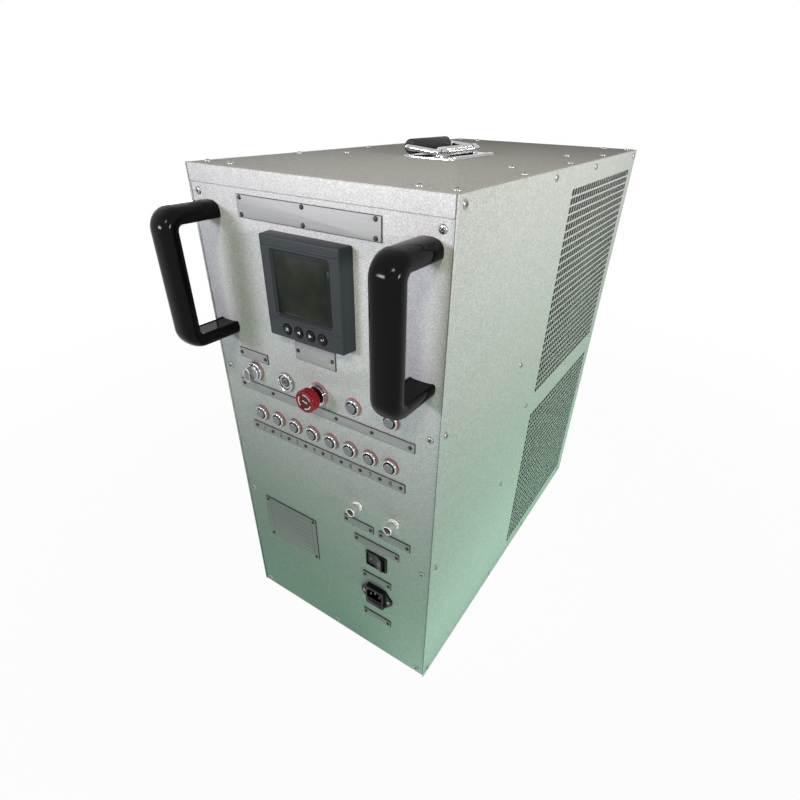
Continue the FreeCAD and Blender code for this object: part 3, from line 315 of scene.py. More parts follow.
# ------------------------------------------------------------------ materials
def add_node(tree, kind, output, inputs, **settings):
    """Adds a node, whose inputs take values or other nodes' outputs, and returns one output."""
    node = tree.nodes.new("ShaderNode" + kind)
    for key, value in settings.items():
        setattr(node, key, value)
    for key, value in inputs.items():
        if isinstance(value, bpy.types.NodeSocket):
            tree.links.new(value, node.inputs[key])
        else:
            node.inputs[key].default_value = value
    return node.outputs[output]


def ranged(tree, value, start, end, low=0.0, high=1.0, **settings):
    """A value mapped from the range start to end onto the range low to high."""
    return add_node(tree, "MapRange", "Result", {"Value": value, "From Min": start, "From Max": end,
                                                 "To Min": low, "To Max": high}, **settings)


def material(name, color, rough, metal=0.0, specular=0.5):
    """Principled material with its even values set on the shader."""
    mat = bpy.data.materials.new(name)
    mat.use_nodes = True
    shader = mat.node_tree.nodes["Principled BSDF"]
    shader.inputs["Base Color"].default_value = (*color, 1)
    shader.inputs["Roughness"].default_value = rough
    shader.inputs["Metallic"].default_value = metal
    shader.inputs["Specular IOR Level"].default_value = specular
    return mat


def grain(mat, scale, depth, color_shift=0.0, rough_shift=0.0, stretch=(1, 1, 1), detail=3.0,
          kind="noise"):
    """Bump, colour and roughness variation from one texture in the object's own space."""
    tree = mat.node_tree
    where = add_node(tree, "TexCoord", "Object", {})
    where = add_node(tree, "Mapping", "Vector", {"Vector": where, "Scale": stretch})
    if kind == "noise":
        height = add_node(tree, "TexNoise", "Fac", {"Vector": where, "Scale": scale,
                                                    "Detail": detail, "Roughness": 0.6})
    else:
        height = add_node(tree, "TexVoronoi", "Distance", {"Vector": where, "Scale": scale})
    if depth:
        bump = add_node(tree, "Bump", "Normal", {"Strength": 0.6, "Distance": depth * MM,
                                                 "Height": height})
        tree.links.new(bump, tree.nodes["Principled BSDF"].inputs["Normal"])
    if color_shift:
        vary(tree, "Base Color", height, color_shift)
    if rough_shift:
        vary(tree, "Roughness", height, rough_shift)


def vary(tree, socket, height, amount):
    """Lightens and darkens a shader value by the height of a texture."""
    target = tree.nodes["Principled BSDF"].inputs[socket]
    before = target.links[0].from_socket if target.is_linked else target.default_value
    share = ranged(tree, height, 0.3, 0.7, 1 - amount, 1 + amount)
    if socket == "Base Color":
        product = add_node(tree, "Mix", "Result", {"Factor": 1.0, "A": before, "B": share},
                           data_type="RGBA", blend_type="MULTIPLY")
    else:
        product = add_node(tree, "Math", "Value", {0: share, 1: before}, operation="MULTIPLY")
    tree.links.new(product, target)


def powder_coat():
    """Silver powder coat with a fine pebbled skin and bright flakes."""
    mat = material("powder_coat", (0.60, 0.60, 0.61), 0.42, metal=0.03, specular=0.0)
    grain(mat, 160.0, 0.0, color_shift=0.05, rough_shift=0.10)
    grain(mat, 700.0, 0.0, color_shift=0.13, kind="voronoi")
    grain(mat, 520.0, 0.12, color_shift=0.07, detail=5.0)
    return mat


def finish(name, color, rough, texture, metal=0.0, specular=0.5):
    """Material with a texture: scale, depth in millimetres, colour and roughness shift, stretch."""
    mat = material(name, color, rough, metal, specular)
    grain(mat, *texture)
    return mat


PAINT = powder_coat()
# Walls of the grille holes: dark grey, painted shade for the inside of the holes
SHADED_HOLE_WALL = finish("hole_walls_painted_shade", (0.15, 0.15, 0.155), 0.5, (600.0, 0.02, 0.12),
                   metal=0.3, specular=0.2)
ZINC = finish("zinc_sheet", (0.26, 0.265, 0.265), 0.45, (60.0, 0.02, 0.12, 0.2), metal=0.5)
BLACK_GLOSS = finish("handle_gloss_black", (0.003, 0.003, 0.003), 0.11, (45.0, 0.03, 0, 0.15),
                     specular=0.10)
BRUSHED = finish("brushed_plate", (0.37, 0.375, 0.38), 0.55,
                 (500.0, 0.02, 0.10, 0.15, (0.03, 1, 1)), metal=0.15, specular=0.2)
# Near-black fill for engravings and the plates' core; on screw heads it is painted shade in place of
# the cross recess
ENGRAVING_AND_RECESS_SHADE = finish("engraving_and_painted_recess_shade", (0.05, 0.05, 0.05), 0.6, (900.0, 0.01, 0.1))
SCREW_STEEL = finish("screw_bright_zinc", (0.34, 0.34, 0.33), 0.26, (700.0, 0.01, 0.06, 0.25),
                     metal=1.0)
SCREW_BLACK = finish("screw_black_oxide", (0.012, 0.012, 0.013), 0.30, (800.0, 0.01, 0, 0.2),
                     metal=0.2)
CHROME = finish("polished_chrome", (0.50, 0.50, 0.51), 0.09, (300.0, 0.004, 0, 0.3), metal=1.0)
CAP_STEEL = finish("button_cap_steel", (0.19, 0.20, 0.20), 0.26, (500.0, 0.004, 0.05, 0.25),
                   metal=1.0)
SEAL = finish("seal_red_rubber", (0.54, 0.19, 0.19), 0.55, (700.0, 0.02, 0.1), specular=0.2)
METER_SHELL = finish("meter_slate_plastic", (0.030, 0.037, 0.042), 0.42,
                     (1400.0, 0.02, 0.05, 0.12), specular=0.25)
# The display's broad light and dark colour mottle is painted reflection: pale patches over the dark
# glass
METER_GLASS = finish("meter_display_painted_reflection", (0.026, 0.032, 0.024), 0.25, (24.0, 0, 0.35), specular=0.06)
METER_FRAME = finish("meter_pane_border", (0.010, 0.012, 0.012), 0.18, (60.0, 0, 0.10),
                     specular=0.2)
KEY_BLACK = finish("meter_key_rubber", (0.006, 0.006, 0.007), 0.35, (900.0, 0.01, 0.1),
                   specular=0.12)
MARK_WHITE = finish("mark_white", (0.80, 0.80, 0.80), 0.5, (900.0, 0.005, 0.03))
BLACK_PLASTIC = finish("moulded_black_plastic", (0.010, 0.010, 0.011), 0.34,
                       (1300.0, 0.02, 0, 0.15), specular=0.22)
# One red plastic made twice: the lighter red on the skirt and the face's ring is painted light, the
# darker red on the dished face is painted shade
LIGHTER_RED_GLOSS = finish("mushroom_red_painted_light", (0.36, 0.010, 0.020), 0.20, (120.0, 0.01, 0.08), specular=0.20)
DARKER_RED_FACE = finish("mushroom_face_painted_shade", (0.10, 0.008, 0.012), 0.30, (300.0, 0.01, 0.08),
                  specular=0.15)
LENS = finish("lamp_lens_dark", (0.07, 0.075, 0.075), 0.15, (400.0, 0.01, 0.1), specular=0.4)
BRIGHT_NICKEL = finish("socket_nickel", (0.86, 0.84, 0.81), 0.38, (300.0, 0.004, 0, 0.3), metal=1.0)
# Nickel darkened to near black as painted shade, for the pins deep in the inlet and the sockets; the
# terminal washers share it
SHADED_NICKEL = finish("nickel_painted_shade", (0.16, 0.155, 0.145), 0.32, (500.0, 0.01, 0.08, 0.2), metal=1.0)
BRASS = finish("contact_brass", (0.55, 0.42, 0.22), 0.28, (500.0, 0.01, 0.08, 0.2), metal=1.0)
GRIP = finish("grip_rubber", (0.014, 0.014, 0.015), 0.55, (900.0, 0.05, 0.12), specular=0.25)
ELEMENT = finish("element_fins", (0.17, 0.165, 0.155), 0.45, (90.0, 0.02, 0.15), metal=0.6)
MOULDED = finish("moulded_cream", (0.55, 0.54, 0.50), 0.5, (900.0, 0.02, 0.05))

SHOWN_NODES = (            # CAD nodes that stay in view, by finish
    (PAINT, ["front_panel", "rear_panel", "base_tray"]),
    (ZINC, ["cabinet_frame", "bulkhead", "resistor_rack"]),
    (MOULDED, ["contactors", "switch_blocks"]),
    (BLACK_PLASTIC, ["fan_rotor_lower", "fan_rotor_upper", "fan_frames"]),
    # inlet pins in the nickel darkened as painted shade
    (SHADED_NICKEL, ["inlet_pins"]))
for coat, nodes in SHOWN_NODES:
    for node_name in nodes:
        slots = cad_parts[node_name].data.materials
        slots.clear()
        slots.append(coat)


# ------------------------------------------------------------------ cabinet skin
GRILLE_ROWS, GRILLE_COLUMNS = 28, 29
GRILLE_PITCH = 9.9
GRILLE_HOLE = 7.6
GRILLE_SHEET = 1.0         # what the pressed holes leave of the sheet
GRILLE_Y = 131.0           # from the middle of the depth to the middle of the windows
GRILLE_Z = (165.0, 478.5)  # heights of the two windows' middles
SHEET_RIM, RIM_DROP = 0.8, 0.6     # width of a side sheet's softened rim, and how far it falls
COVER_FLANGE, COVER_BEND = 17.0, 1.6


def hole_lines(centre, count):
    """Edges of a row of square holes about a centre."""
    start = centre - (GRILLE_PITCH * (count - 1) + GRILLE_HOLE) / 2
    return [start + GRILLE_PITCH * i + e for i in range(count) for e in (0, GRILLE_HOLE)]


def perforated(us, vs, open_u, open_v):
    """Sheet on grid lines, open where a line gap is in both sets; the sheet and its hole walls."""
    nu, nv = len(us), len(vs)
    points = []
    for level in (0.0, -GRILLE_SHEET):
        for i, u in enumerate(us):
            for j, v in enumerate(vs):
                rim = i in (0, nu - 1) or j in (0, nv - 1)
                points.append((u, v, level - RIM_DROP if rim and not level else level))
    back = nu * nv

    def solid(i, j):
        inside = 0 <= i < nu - 1 and 0 <= j < nv - 1
        return inside and not (i in open_u and j in open_v)

    faces, walls = [], []
    for i in range(nu - 1):
        for j in range(nv - 1):
            if not solid(i, j):
                continue
            a, b, c, d = i * nv + j, (i + 1) * nv + j, (i + 1) * nv + j + 1, i * nv + j + 1
            faces += [(a, b, c, d), (d + back, c + back, b + back, a + back)]
            for near, p, q in (((i, j - 1), a, b), ((i + 1, j), b, c), ((i, j + 1), c, d),
                               ((i - 1, j), d, a)):
                if not solid(*near):
                    rim = near[0] in (-1, nu - 1) or near[1] in (-1, nv - 1)
                    (faces if rim else walls).append((q, p, p + back, q + back))
    return (points, faces), (points, walls)


def side_sheet(name, node, place, way):
    """Side sheet with two windows of square holes; way is +1 where u runs to the back."""
    depth, height = size(node).y, size(node).z
    columns = hole_lines(way * GRILLE_Y, GRILLE_COLUMNS)
    rows = hole_lines(GRILLE_Z[0], GRILLE_ROWS) + hole_lines(GRILLE_Z[1], GRILLE_ROWS)
    us = [-depth / 2, SHEET_RIM - depth / 2] + columns + [depth / 2 - SHEET_RIM, depth / 2]
    vs = [0, SHEET_RIM] + rows + [height - SHEET_RIM, height]
    open_u, open_v = (set(range(2, 2 + len(lines), 2)) for lines in (columns, rows))
    sheet, walls = perforated(us, vs, open_u, open_v)
    # The sheet takes the powder coat, its hole walls the painted shade
    piece(name, "panel_paint", node, place, (sheet, PAINT), (walls, SHADED_HOLE_WALL))


def cover():
    """Top cover: a flat sheet with its four flanges bent down over a soft radius."""
    w, h = size("top_cover").x, size("top_cover").y
    inner = rounded_rect(w - 2 * SHEET, h - 2 * SHEET, 0.4)
    skin = [flat_ring(inner, -SHEET), flat_ring(inner, -COVER_FLANGE),
            flat_ring(rounded_rect(w, h, 1.0), -COVER_FLANGE)]
    for turn in (0, 22.5, 45, 67.5, 90):
        a = math.radians(turn)
        inset = COVER_BEND * (1 - math.cos(a))
        outline = rounded_rect(w - 2 * inset, h - 2 * inset, 1.0)
        skin.append(flat_ring(outline, -COVER_BEND + COVER_BEND * math.sin(a)))
    piece("cover_sheet", "panel_paint", "top_cover", top(0, 0), (loft(skin), PAINT))


# ------------------------------------------------------------------ screws
CASE_SCREW = (4.0, 1.7, SCREW_STEEL)         # radius, height and metal of a head
PLATE_SCREW = (2.3, 1.5, SCREW_BLACK)
BASE_SCREW = (3.6, 1.8, SCREW_STEEL)
INLET_SCREW = (2.8, 1.4, SCREW_STEEL)


def screw(build, kind, place, turn=0.0):
    """Pan head whose cross recess is a flat dark cross of painted shade, turned by some degrees."""
    radius, height, metal = kind
    place = turned(place, turn)
    profile = [(radius, -0.2), (radius, 0.22 * height), (0.94 * radius, 0.5 * height),
               (0.80 * radius, 0.78 * height), (0.58 * radius, 0.95 * height),
               (0.40 * radius, height), (0, height)]
    build.add(lathe(profile, 20), metal, place)
    span, width = 1.2 * radius, 0.32 * radius
    # Dark cross on the head: painted shade standing for the recess
    for w, h in ((span, width), (width, span)):
        build.add(slab(w, h, 0.9 * height, height + 0.03, 0.05, 0.01), ENGRAVING_AND_RECESS_SHADE, place)


def case_screws():
    """Bright screws that hold the panels, the sides and the cover."""
    build = Build("case_screws", "bright_metal")
    edge_x = size("front_panel").x / 2 - 10.0
    heights = (11.0, 212.0, 414.0, 616.0)
    for z in heights:
        for way in (-1, 1):
            for face in (front, rear):
                place = face(way * edge_x * MM, z * MM)
                screw(build, CASE_SCREW, place, 17.0 * z + 30.0 * way)
    for face in (front, rear):
        screw(build, CASE_SCREW, face(0, heights[0] * MM))
    edge_y = -size("side_panel_right").y / 2
    side_rows = {634: (11, 222, 373, 587), 420: (10, 206, 586), 334: (259, 432),
                 224: (11, 204, 581), 10: (11, 219, 370, 576)}
    for z, depths in side_rows.items():
        for depth in depths:
            for face in (right, left):
                screw(build, CASE_SCREW, face((edge_y + depth) * MM, z * MM), depth)
    for way in (-1, 1):
        for x, depths in ((148, (20, 158, 302, 446, 584)), (113, (20, 208, 396, 584))):
            for depth in depths:
                place = top(way * x * MM, (edge_y + depth) * MM)
                screw(build, CASE_SCREW, place, 2.0 * depth)
    build.done()


# ------------------------------------------------------------------ front handles
HANDLE_HALF_W, HANDLE_HALF_T = 15.5, 8.5
HANDLE_BEND = 14.5
HANDLE_FOOT = 8.0          # straight part of a leg next to the panel


def handle_section():
    """Section of the grip: crowned outside, and inside a flat between two lips."""
    crown = [(HANDLE_HALF_W * math.copysign(abs(math.cos(a)) ** 0.8, math.cos(a)),
              -2.0 + (HANDLE_HALF_T + 2.0) * math.sin(a) ** 0.86)
             for a in [math.pi * i / 20 for i in range(21)]]
    back = [(-HANDLE_HALF_W, -5.0), (-14.9, -7.3), (-13.4, -8.4), (-11.6, -8.5), (-11.0, -7.6),
            (0, -7.4)]
    return crown + back + [(-u, v) for u, v in back[-2::-1]]


def handle(name, node):
    """Bow handle swept along its legs, two bends and its bar."""
    bar, leg = size(node).y - HANDLE_HALF_T, size(node).z / 2 - HANDLE_HALF_T
    path = [(0.0, leg, 0.0, 1.0), (HANDLE_FOOT, leg, 0.0, 1.0)]
    for way in (1, -1):
        for i in range(13):
            a = math.radians(90 * i / 12)
            if way < 0:
                a = math.pi / 2 - a
            path.append((bar - HANDLE_BEND + HANDLE_BEND * math.sin(a),
                         way * (leg - HANDLE_BEND + HANDLE_BEND * math.cos(a)),
                         math.sin(a), way * math.cos(a)))
    path += [(HANDLE_FOOT, -leg, 0.0, -1.0), (0.0, -leg, 0.0, -1.0)]
    section = handle_section()
    rings = [[(a, v + nv * b, w + nw * b) for a, b in section] for w, v, nw, nv in path]
    piece(name, "handle_black", node, on_front(node), (loft(rings), BLACK_GLOSS), angle=50.0)


# ------------------------------------------------------------------ plates and labels
PLATE_T = 1.4
PLATE_RIM = 0.65           # black edge of the core round the brushed face
STRIP_H = 12.4
STAGE_PITCH = 28.57


def plate(build, place, w, h, screws):
    """Engraving plate: a black core under a brushed face, fixed with black dome screws."""
    build.add(slab(w, h, 0.0, PLATE_T - 0.12, 0.7, 0.35), ENGRAVING_AND_RECESS_SHADE, place)
    build.add(slab(w - 2 * PLATE_RIM, h - 2 * PLATE_RIM, PLATE_T - 0.3, PLATE_T, 0.4, 0.1),
              BRUSHED, place)
    for u, v in screws:
        screw(build, PLATE_SCREW, shifted(place, u, v, PLATE_T))


def in_a_row(count, pitch):
    """Places in a row about the middle."""
    return [((i - (count - 1) / 2) * pitch, 0.0) for i in range(count)]


def numeral(text, height):
    """Flat outline of a numeral, centred."""
    curve = bpy.data.curves.new("numeral", "FONT")
    curve.body = text
    curve.size = height * 1.4
    curve.offset = 0.024 * height          # makes the strokes bold
    curve.align_x, curve.align_y = "CENTER", "CENTER"
    curve.resolution_u = 3
    holder = bpy.data.objects.new("numeral", curve)
    bpy.context.scene.collection.objects.link(holder)
    bpy.context.view_layer.update()
    mesh = bpy.data.meshes.new_from_object(holder)
    shape = [tuple(v.co) for v in mesh.vertices], [tuple(p.vertices) for p in mesh.polygons]
    bpy.data.objects.remove(holder)
    bpy.data.meshes.remove(mesh)
    return shape


def label_plates():
    """Plates beside the controls; the stage plate has plain numbers."""
    build = Build("label_plates", "plate_metal", "label_strips")

    def strip(x, z, w, count, pitch, h=STRIP_H):
        place = front(x, z)
        plate(build, place, w, h, in_a_row(count, pitch))
        return place

    knob, stop = mid("selector_bezel"), mid("estop_collar")
    rocker, inlet = mid("rocker_frame"), mid("inlet_housing")
    strip(knob.x, knob.z + 20 * MM, 47, 2, 40.0)
    strip(stop.x, stop.z - 24 * MM, 261, 6, 50.0)
    stages = strip(stop.x, mid("stage_button_cap_1").z - 24 * MM, 239.6, 9, STAGE_PITCH)
    for i, (u, v) in enumerate(in_a_row(8, STAGE_PITCH)):
        build.add(moved(numeral(str(i + 1), 6.6), u, v, PLATE_T + 0.03), ENGRAVING_AND_RECESS_SHADE, stages)
    strip(stop.x, lo("meter_case").z - 20 * MM, 57, 2, 49.0, 22)
    for x, z in socket_places():
        strip(x, z - 31.5 * MM, 47, 2, 39.0)
    strip(rocker.x, rocker.z + 26.5 * MM, 70, 2, 63.0)
    strip(rocker.x, rocker.z - 36.5 * MM, 47, 2, 39.0)
    strip(inlet.x, inlet.z - 48.5 * MM, 47, 2, 39.0)
    build.done()


def title_plate():
    """Long plate at the top, left blank, with six dome screws."""
    build = Build("title_plate", "plate_metal", "name_plate", on_front("name_plate"))
    s = size("name_plate")
    screws = [(u, v) for u in (-84.0, -1.0, 83.0) for v in (-8.0, 8.0)]
    plate(build, build.place, s.x, s.z, screws)
    build.done()


def ruled_plate():
    """Data plate with an engraved border and blank ruled lines."""
    build = Build("ruled_plate", "plate_metal", "data_plate", on_front("data_plate"))
    s = size("data_plate")
    plate(build, build.place, s.x, s.z, [(u, v) for u in (-44, 44) for v in (-34.5, 34.5)])
    w, h = s.x - 16, s.z - 16
    line, lines = 0.55, 7
    rules = [(w, line, 0, v) for v in (-h / 2, h / 2)]
    rules += [(line, h, u, 0) for u in (-w / 2, w / 2)]
    rules += [(w - 8, line * 0.8, 0, h / 2 - h * i / lines) for i in range(1, lines)]
    for wide, high, u, v in rules:
        build.add(slab(wide, high, PLATE_T - 0.2, PLATE_T + 0.02, 0.1, 0.01, (u, v)), ENGRAVING_AND_RECESS_SHADE)
    build.done()


# ------------------------------------------------------------------ meter
KEY_HOLE_R = 5.6


def meter_shell():
    """Drafted bezel with a recess for the display and wells for the keys, and the body behind."""
    case, pane = "meter_case", "meter_window"
    c, s, ws = mid(case), size(case), size(pane)
    proud, draft, body = front_w(case), 2.0, 91.0
    rise = (mid(pane).z - c.z) / MM
    build = Build("meter_shell", "meter_plastic", case, on_front(case), angle=28.0)

    def outer(inset, level, side=0.0):
        outline = rounded_rect(s.x - 2 * inset - 2 * side, s.z - 2 * inset, max(2.4 - inset, 0.4))
        return flat_ring(outline, level)

    def opening(grow, level):
        outline = rounded_rect(ws.x + 2 * grow, ws.z + 2 * grow, max(1.2 + grow, 0.3))
        return [(u, v + rise, level) for u, v in outline]

    outside = [outer(0.0, 0.0), outer(0.0, 1.0), outer(0.0, proud - 2.2, draft),
               outer(0.35, proud - 0.9, draft), outer(1.2, proud - 0.15, draft),
               outer(2.2, proud, draft)]
    recess = [opening(2.2, proud), opening(1.6, proud - 0.7), opening(1.5, proud - 1.0),
              opening(0.0, front_w(pane) - 0.3)]
    keys = [((mid(key).x - c.x) / MM, (mid(key).z - c.z) / MM) for key in METER_KEYS]
    holes = [[(u + cu, v + cv) for u, v in circle(KEY_HOLE_R, 40)] for cu, cv in keys]
    rim, lip = [[point[:2] for point in ring] for ring in (outside[-1], recess[0])]
    build.add(loft(outside, True, False), METER_SHELL)
    build.add(loft(recess, False, True), METER_SHELL)
    build.add(pierced(rim, [lip] + holes, proud), METER_SHELL)
    ridge, low = s.x - 2 * draft - 6.0, proud - 0.2
    above, below = rise + ws.z / 2, rise - ws.z / 2
    for v in (above + 5.6, below - 5.0):
        build.add(slab(ridge, 1.1, low, proud + 0.5, 0.3, 0.3, (0, v)), METER_SHELL)
        build.add(slab(ridge, 0.6, low, proud + 0.03, 0.2, 0.02, (0, v - 0.8)), METER_FRAME)
    build.add(slab(ridge * 0.46, 0.5, low, proud + 0.12, 0.2, 0.1, (ridge * 0.2, below - 11.0)),
              METER_SHELL)
    build.add(slab(body, body, back_w(case), -2.2, 1.5, 0.3), METER_SHELL)
    well = tube([(KEY_HOLE_R, proud - 4.0), (6.0, proud - 4.0), (6.5, proud - 0.3),
                 (6.6, proud + 0.02), (6.2, proud + 0.10), (KEY_HOLE_R, proud + 0.02)], 40)
    for u, v in keys:
        build.add(moved(well, u, v), KEY_BLACK)
    build.done()


def meter_pane():
    """Display inside its border, with a small catch at the right."""
    node = "meter_window"
    s, w = size(node), front_w(node)
    low, catch = w - 0.4, (s.x / 2 - 0.9, s.z / 2 - 12.0)
    piece("meter_pane", "meter_pane", node, on_front(node),
          (slab(s.x, s.z, w - 1.2, w - 0.25, 0.8, 0.05), METER_FRAME),
          (slab(s.x - 8.5, s.z - 7.0, low, w - 0.12, 0.6, 0.05, (-1.0, 0.0)), METER_GLASS),
          (slab(2.4, 6.0, low, w + 1.3, 0.4, 0.3, catch), METER_SHELL))


def key_symbol(key, index, w):
    """White symbol on a meter key: menu bars, left, right and enter arrows."""
    low, high = w - 0.1, w + 0.06

    def bar(wide, tall, u, v):
        key.add(slab(wide, tall, low, high, 0.1, 0.02, (u, v)), MARK_WHITE)

    def head(outline):
        key.add(prism(outline, low, high, 0.05), MARK_WHITE)

    if index == 1:
        for v in (-1.3, 0.0, 1.3):
            bar(3.6, 0.6, 0, v)
    elif index in (2, 3):
        way, reach = 2 * index - 5, 1.9
        head([(-reach * way, -reach), (reach * 1.1 * way, 0.0), (-reach * way, reach)][::way])
    else:
        bar(3.0, 0.6, 0.4, -0.4)
        bar(0.6, 1.9, 1.7, 0.3)
        head([(-2.2, -0.4), (-0.7, -1.5), (-0.7, 0.7)])


def meter_keys():
    """Four keys, each on its own body."""
    for index, node in enumerate(METER_KEYS, 1):
        r, w = size(node).x / 2, front_w(node)
        key = Build("meter_button_%d" % index, "key_black", node, on_front(node), node)
        key.add(lathe([(r, w - 3.0), (r, w - 0.7), (r - 0.25, w - 0.25), (r - 0.8, w - 0.03),
                       (0, w)], 40), KEY_BLACK)
        key_symbol(key, index, w)
        key.done()


# ------------------------------------------------------------------ controls
def button_bezel(build, place):
    """Chrome ring of a push button over its thin red seal, with a black gasket inside."""
    for profile, mat in (
            ([(9.3, 0.0), (10.6, 0.0), (10.6, 0.6), (10.3, 0.9), (9.3, 0.9)], SEAL),
            ([(7.2, 0.6), (9.7, 0.6), (9.8, 0.9), (9.8, 3.0), (9.55, 4.2), (9.0, 4.95),
              (8.35, 5.2), (7.75, 4.95), (7.35, 4.2), (7.2, 3.0)], CHROME),
            ([(6.45, 1.6), (7.25, 1.6), (7.25, 3.2), (6.45, 3.2)], SCREW_BLACK)):
        build.add(tube(profile), mat, place)


def push_buttons():
    """Ten push buttons: their bezels in one piece, and a cap on each button's own body."""
    bezels = Build("button_rings", "bright_metal", "button_bezels")
    for node in CAPS:
        place = on_front(node)
        button_bezel(bezels, place)
        r, low, high = size(node).x / 2, back_w(node), front_w(node)
        cap = lathe([(r, low), (r, high - 1.1), (r - 0.2, high - 0.6), (r - 0.65, high - 0.28),
                     (r - 1.4, high - 0.16), (r / 2, high - 0.04), (0, high)])
        piece(node.replace("cap", "face"), "cap_metal", node, place, (cap, CAP_STEEL),
              body=node.replace("_cap", ""))
    bezels.done()


def seals():
    """Dark red seals under the large bezels of the selector and the emergency stop."""
    build = Build("large_seals", "seal_red", "control_seals")
    for node, r in (("selector_bezel", 12.35), ("estop_collar", 14.1)):
        profile = [(r - 2.0, 0.0), (r, 0.0), (r, 0.8), (r - 0.3, 1.2), (r - 2.0, 1.2)]
        build.add(tube(profile), SEAL, on_front(node))
    build.done()


def selector():
    """Selector switch: chrome bezel and a chrome knob whose bar ends in a point."""
    place = on_front("selector_bezel")
    ring = tube([(5.2, 0.6), (12.0, 0.6), (12.1, 1.0), (12.1, 3.4), (11.8, 4.6), (11.2, 5.3),
                 (10.5, 5.5), (9.9, 5.2), (9.6, 4.7), (5.2, 4.7)])
    piece("selector_ring", "bright_metal", "selector_bezel", place, (ring, CHROME))
    r, high = 10.0, front_w("selector_knob")
    disc = lathe([(5.0, -15.0), (5.0, 5.8), (r, 5.8), (r, 7.4), (r - 0.4, 8.3), (r - 1.1, 8.8),
                  (0, 8.8)])
    half, foot, shoulder, tip = 5.0, -4.6, 4.6, 9.4
    outline = arc(half, 180, 360, 10, 0.0, foot) + [(half, shoulder), (0.0, tip), (-half, shoulder)]
    inlay = [(u * 0.78, v * 0.80) for u, v in outline]
    piece("selector_handle", "bright_metal", "selector_knob", place, (disc, CHROME),
          (prism(outline, 8.0, high, 0.7), CHROME),
          (prism(inlay, high - 0.2, high + 0.05, 0.04), CAP_STEEL),
          (slab(0.9, 3.4, high - 0.1, high + 0.1, 0.2, 0.04, (0, 5.0)), ENGRAVING_AND_RECESS_SHADE), body="selector")


def fault_lamp():
    """Indicator lamp: chrome ring dished in steps towards a dark lens."""
    place = on_front("fault_lamp_bezel")
    ring = tube([(6.4, 0.0), (12.0, 0.0), (12.1, 0.6), (12.1, 2.4), (11.8, 3.7), (11.1, 4.4),
                 (10.4, 4.6), (9.8, 4.3), (9.5, 3.7), (9.2, 2.9), (6.4, 2.5)])
    gasket = tube([(7.9, 2.4), (9.1, 2.4), (9.1, 3.0), (7.9, 2.9)])
    piece("fault_lamp_ring", "bright_metal", "fault_lamp_bezel", place, (ring, CHROME),
          (gasket, SCREW_BLACK))
    lens = lathe([(6.3, -6.0), (6.3, 2.5), (6.0, 3.0), (5.4, 3.2), (4.9, 3.05), (4.6, 2.7),
                  (0, 2.6)])
    inner = tube([(2.6, 2.5), (4.1, 2.5), (4.1, 3.0), (3.8, 3.2), (2.9, 3.2), (2.6, 3.0)])
    piece("fault_lamp_glass", "lens_dark", "fault_lamp_lens", place, (lens, LENS),
          (inner, CAP_STEEL))


# ------------------------------------------------------------------ emergency stop
MUSHROOM_SIDES = 144
RIM_R, RIM_W, DISH_W = 11.0, 24.3, 23.5     # the mushroom's face: its edge, and its lowest point


def stop_collar():
    """Stepped chrome collar with a black gap between its two rings."""
    low = tube([(6.7, 1.0), (13.7, 1.0), (13.85, 1.4), (13.85, 3.2), (13.5, 3.9), (12.9, 4.1),
                (6.7, 4.1)])
    gap = tube([(6.9, 4.1), (12.2, 4.1), (12.2, 4.9), (6.9, 4.9)])
    high = tube([(6.7, 4.9), (12.9, 4.9), (13.2, 5.2), (13.2, 6.1), (12.8, 6.7), (12.0, 7.0),
                 (6.7, 7.0)])
    piece("stop_collar", "bright_metal", "estop_collar", on_front("estop_collar"), (low, CHROME),
          (gap, SCREW_BLACK), (high, CHROME))


def stop_stem():
    """Black stem that the mushroom sits on."""
    stem = lathe([(6.3, -15.6), (6.3, 18.0), (5.8, 18.5), (0, 18.5)])
    piece("stop_stem", "black_plastic", "estop_stem", on_front("estop_collar"),
          (stem, BLACK_PLASTIC), body="estop_plunger")


def ribbed_skirt(profile, ribs, depth, low, high):
    """Body turned about w, open above, whose skirt has axial ribs between two levels."""
    angles = [2 * math.pi * i / MUSHROOM_SIDES for i in range(MUSHROOM_SIDES)]
    rings = []
    for r, w in profile:
        wave = depth if low <= w <= high else 0.0
        radii = [r + wave * math.cos(ribs * a) for a in angles]
        rings.append([(s * math.cos(a), s * math.sin(a), w) for s, a in zip(radii, angles)])
    return loft(rings, close_high=False)


def face_w(r):
    """Height of the mushroom's dished face at a radius."""
    return DISH_W + (RIM_W - DISH_W) * (r / RIM_R) ** 2


def arc_arrow(r0, r1, start, end):
    """Flat curved arrow on the mushroom's face, with its head at the end."""
    steps, lift, sunk, neck = 14, 0.14, 0.3, 0.72
    middle, half = (r0 + r1) / 2, (r1 - r0) / 2
    points, faces = [], []
    for i in range(steps + 1):
        t = i / steps
        width = half if t < neck else half * 2.1 * (1 - t) / (1 - neck) + 0.02
        a = math.radians(start + (end - start) * t)
        for r in (middle - width, middle + width):
            for w in (face_w(r) + lift, face_w(r) - sunk):
                points.append((r * math.cos(a), r * math.sin(a), w))
    for k in range(0, 4 * steps, 4):
        faces += [(k, k + 4, k + 6, k + 2), (k + 1, k + 5, k + 4, k), (k + 2, k + 6, k + 7, k + 3)]
    return points, faces


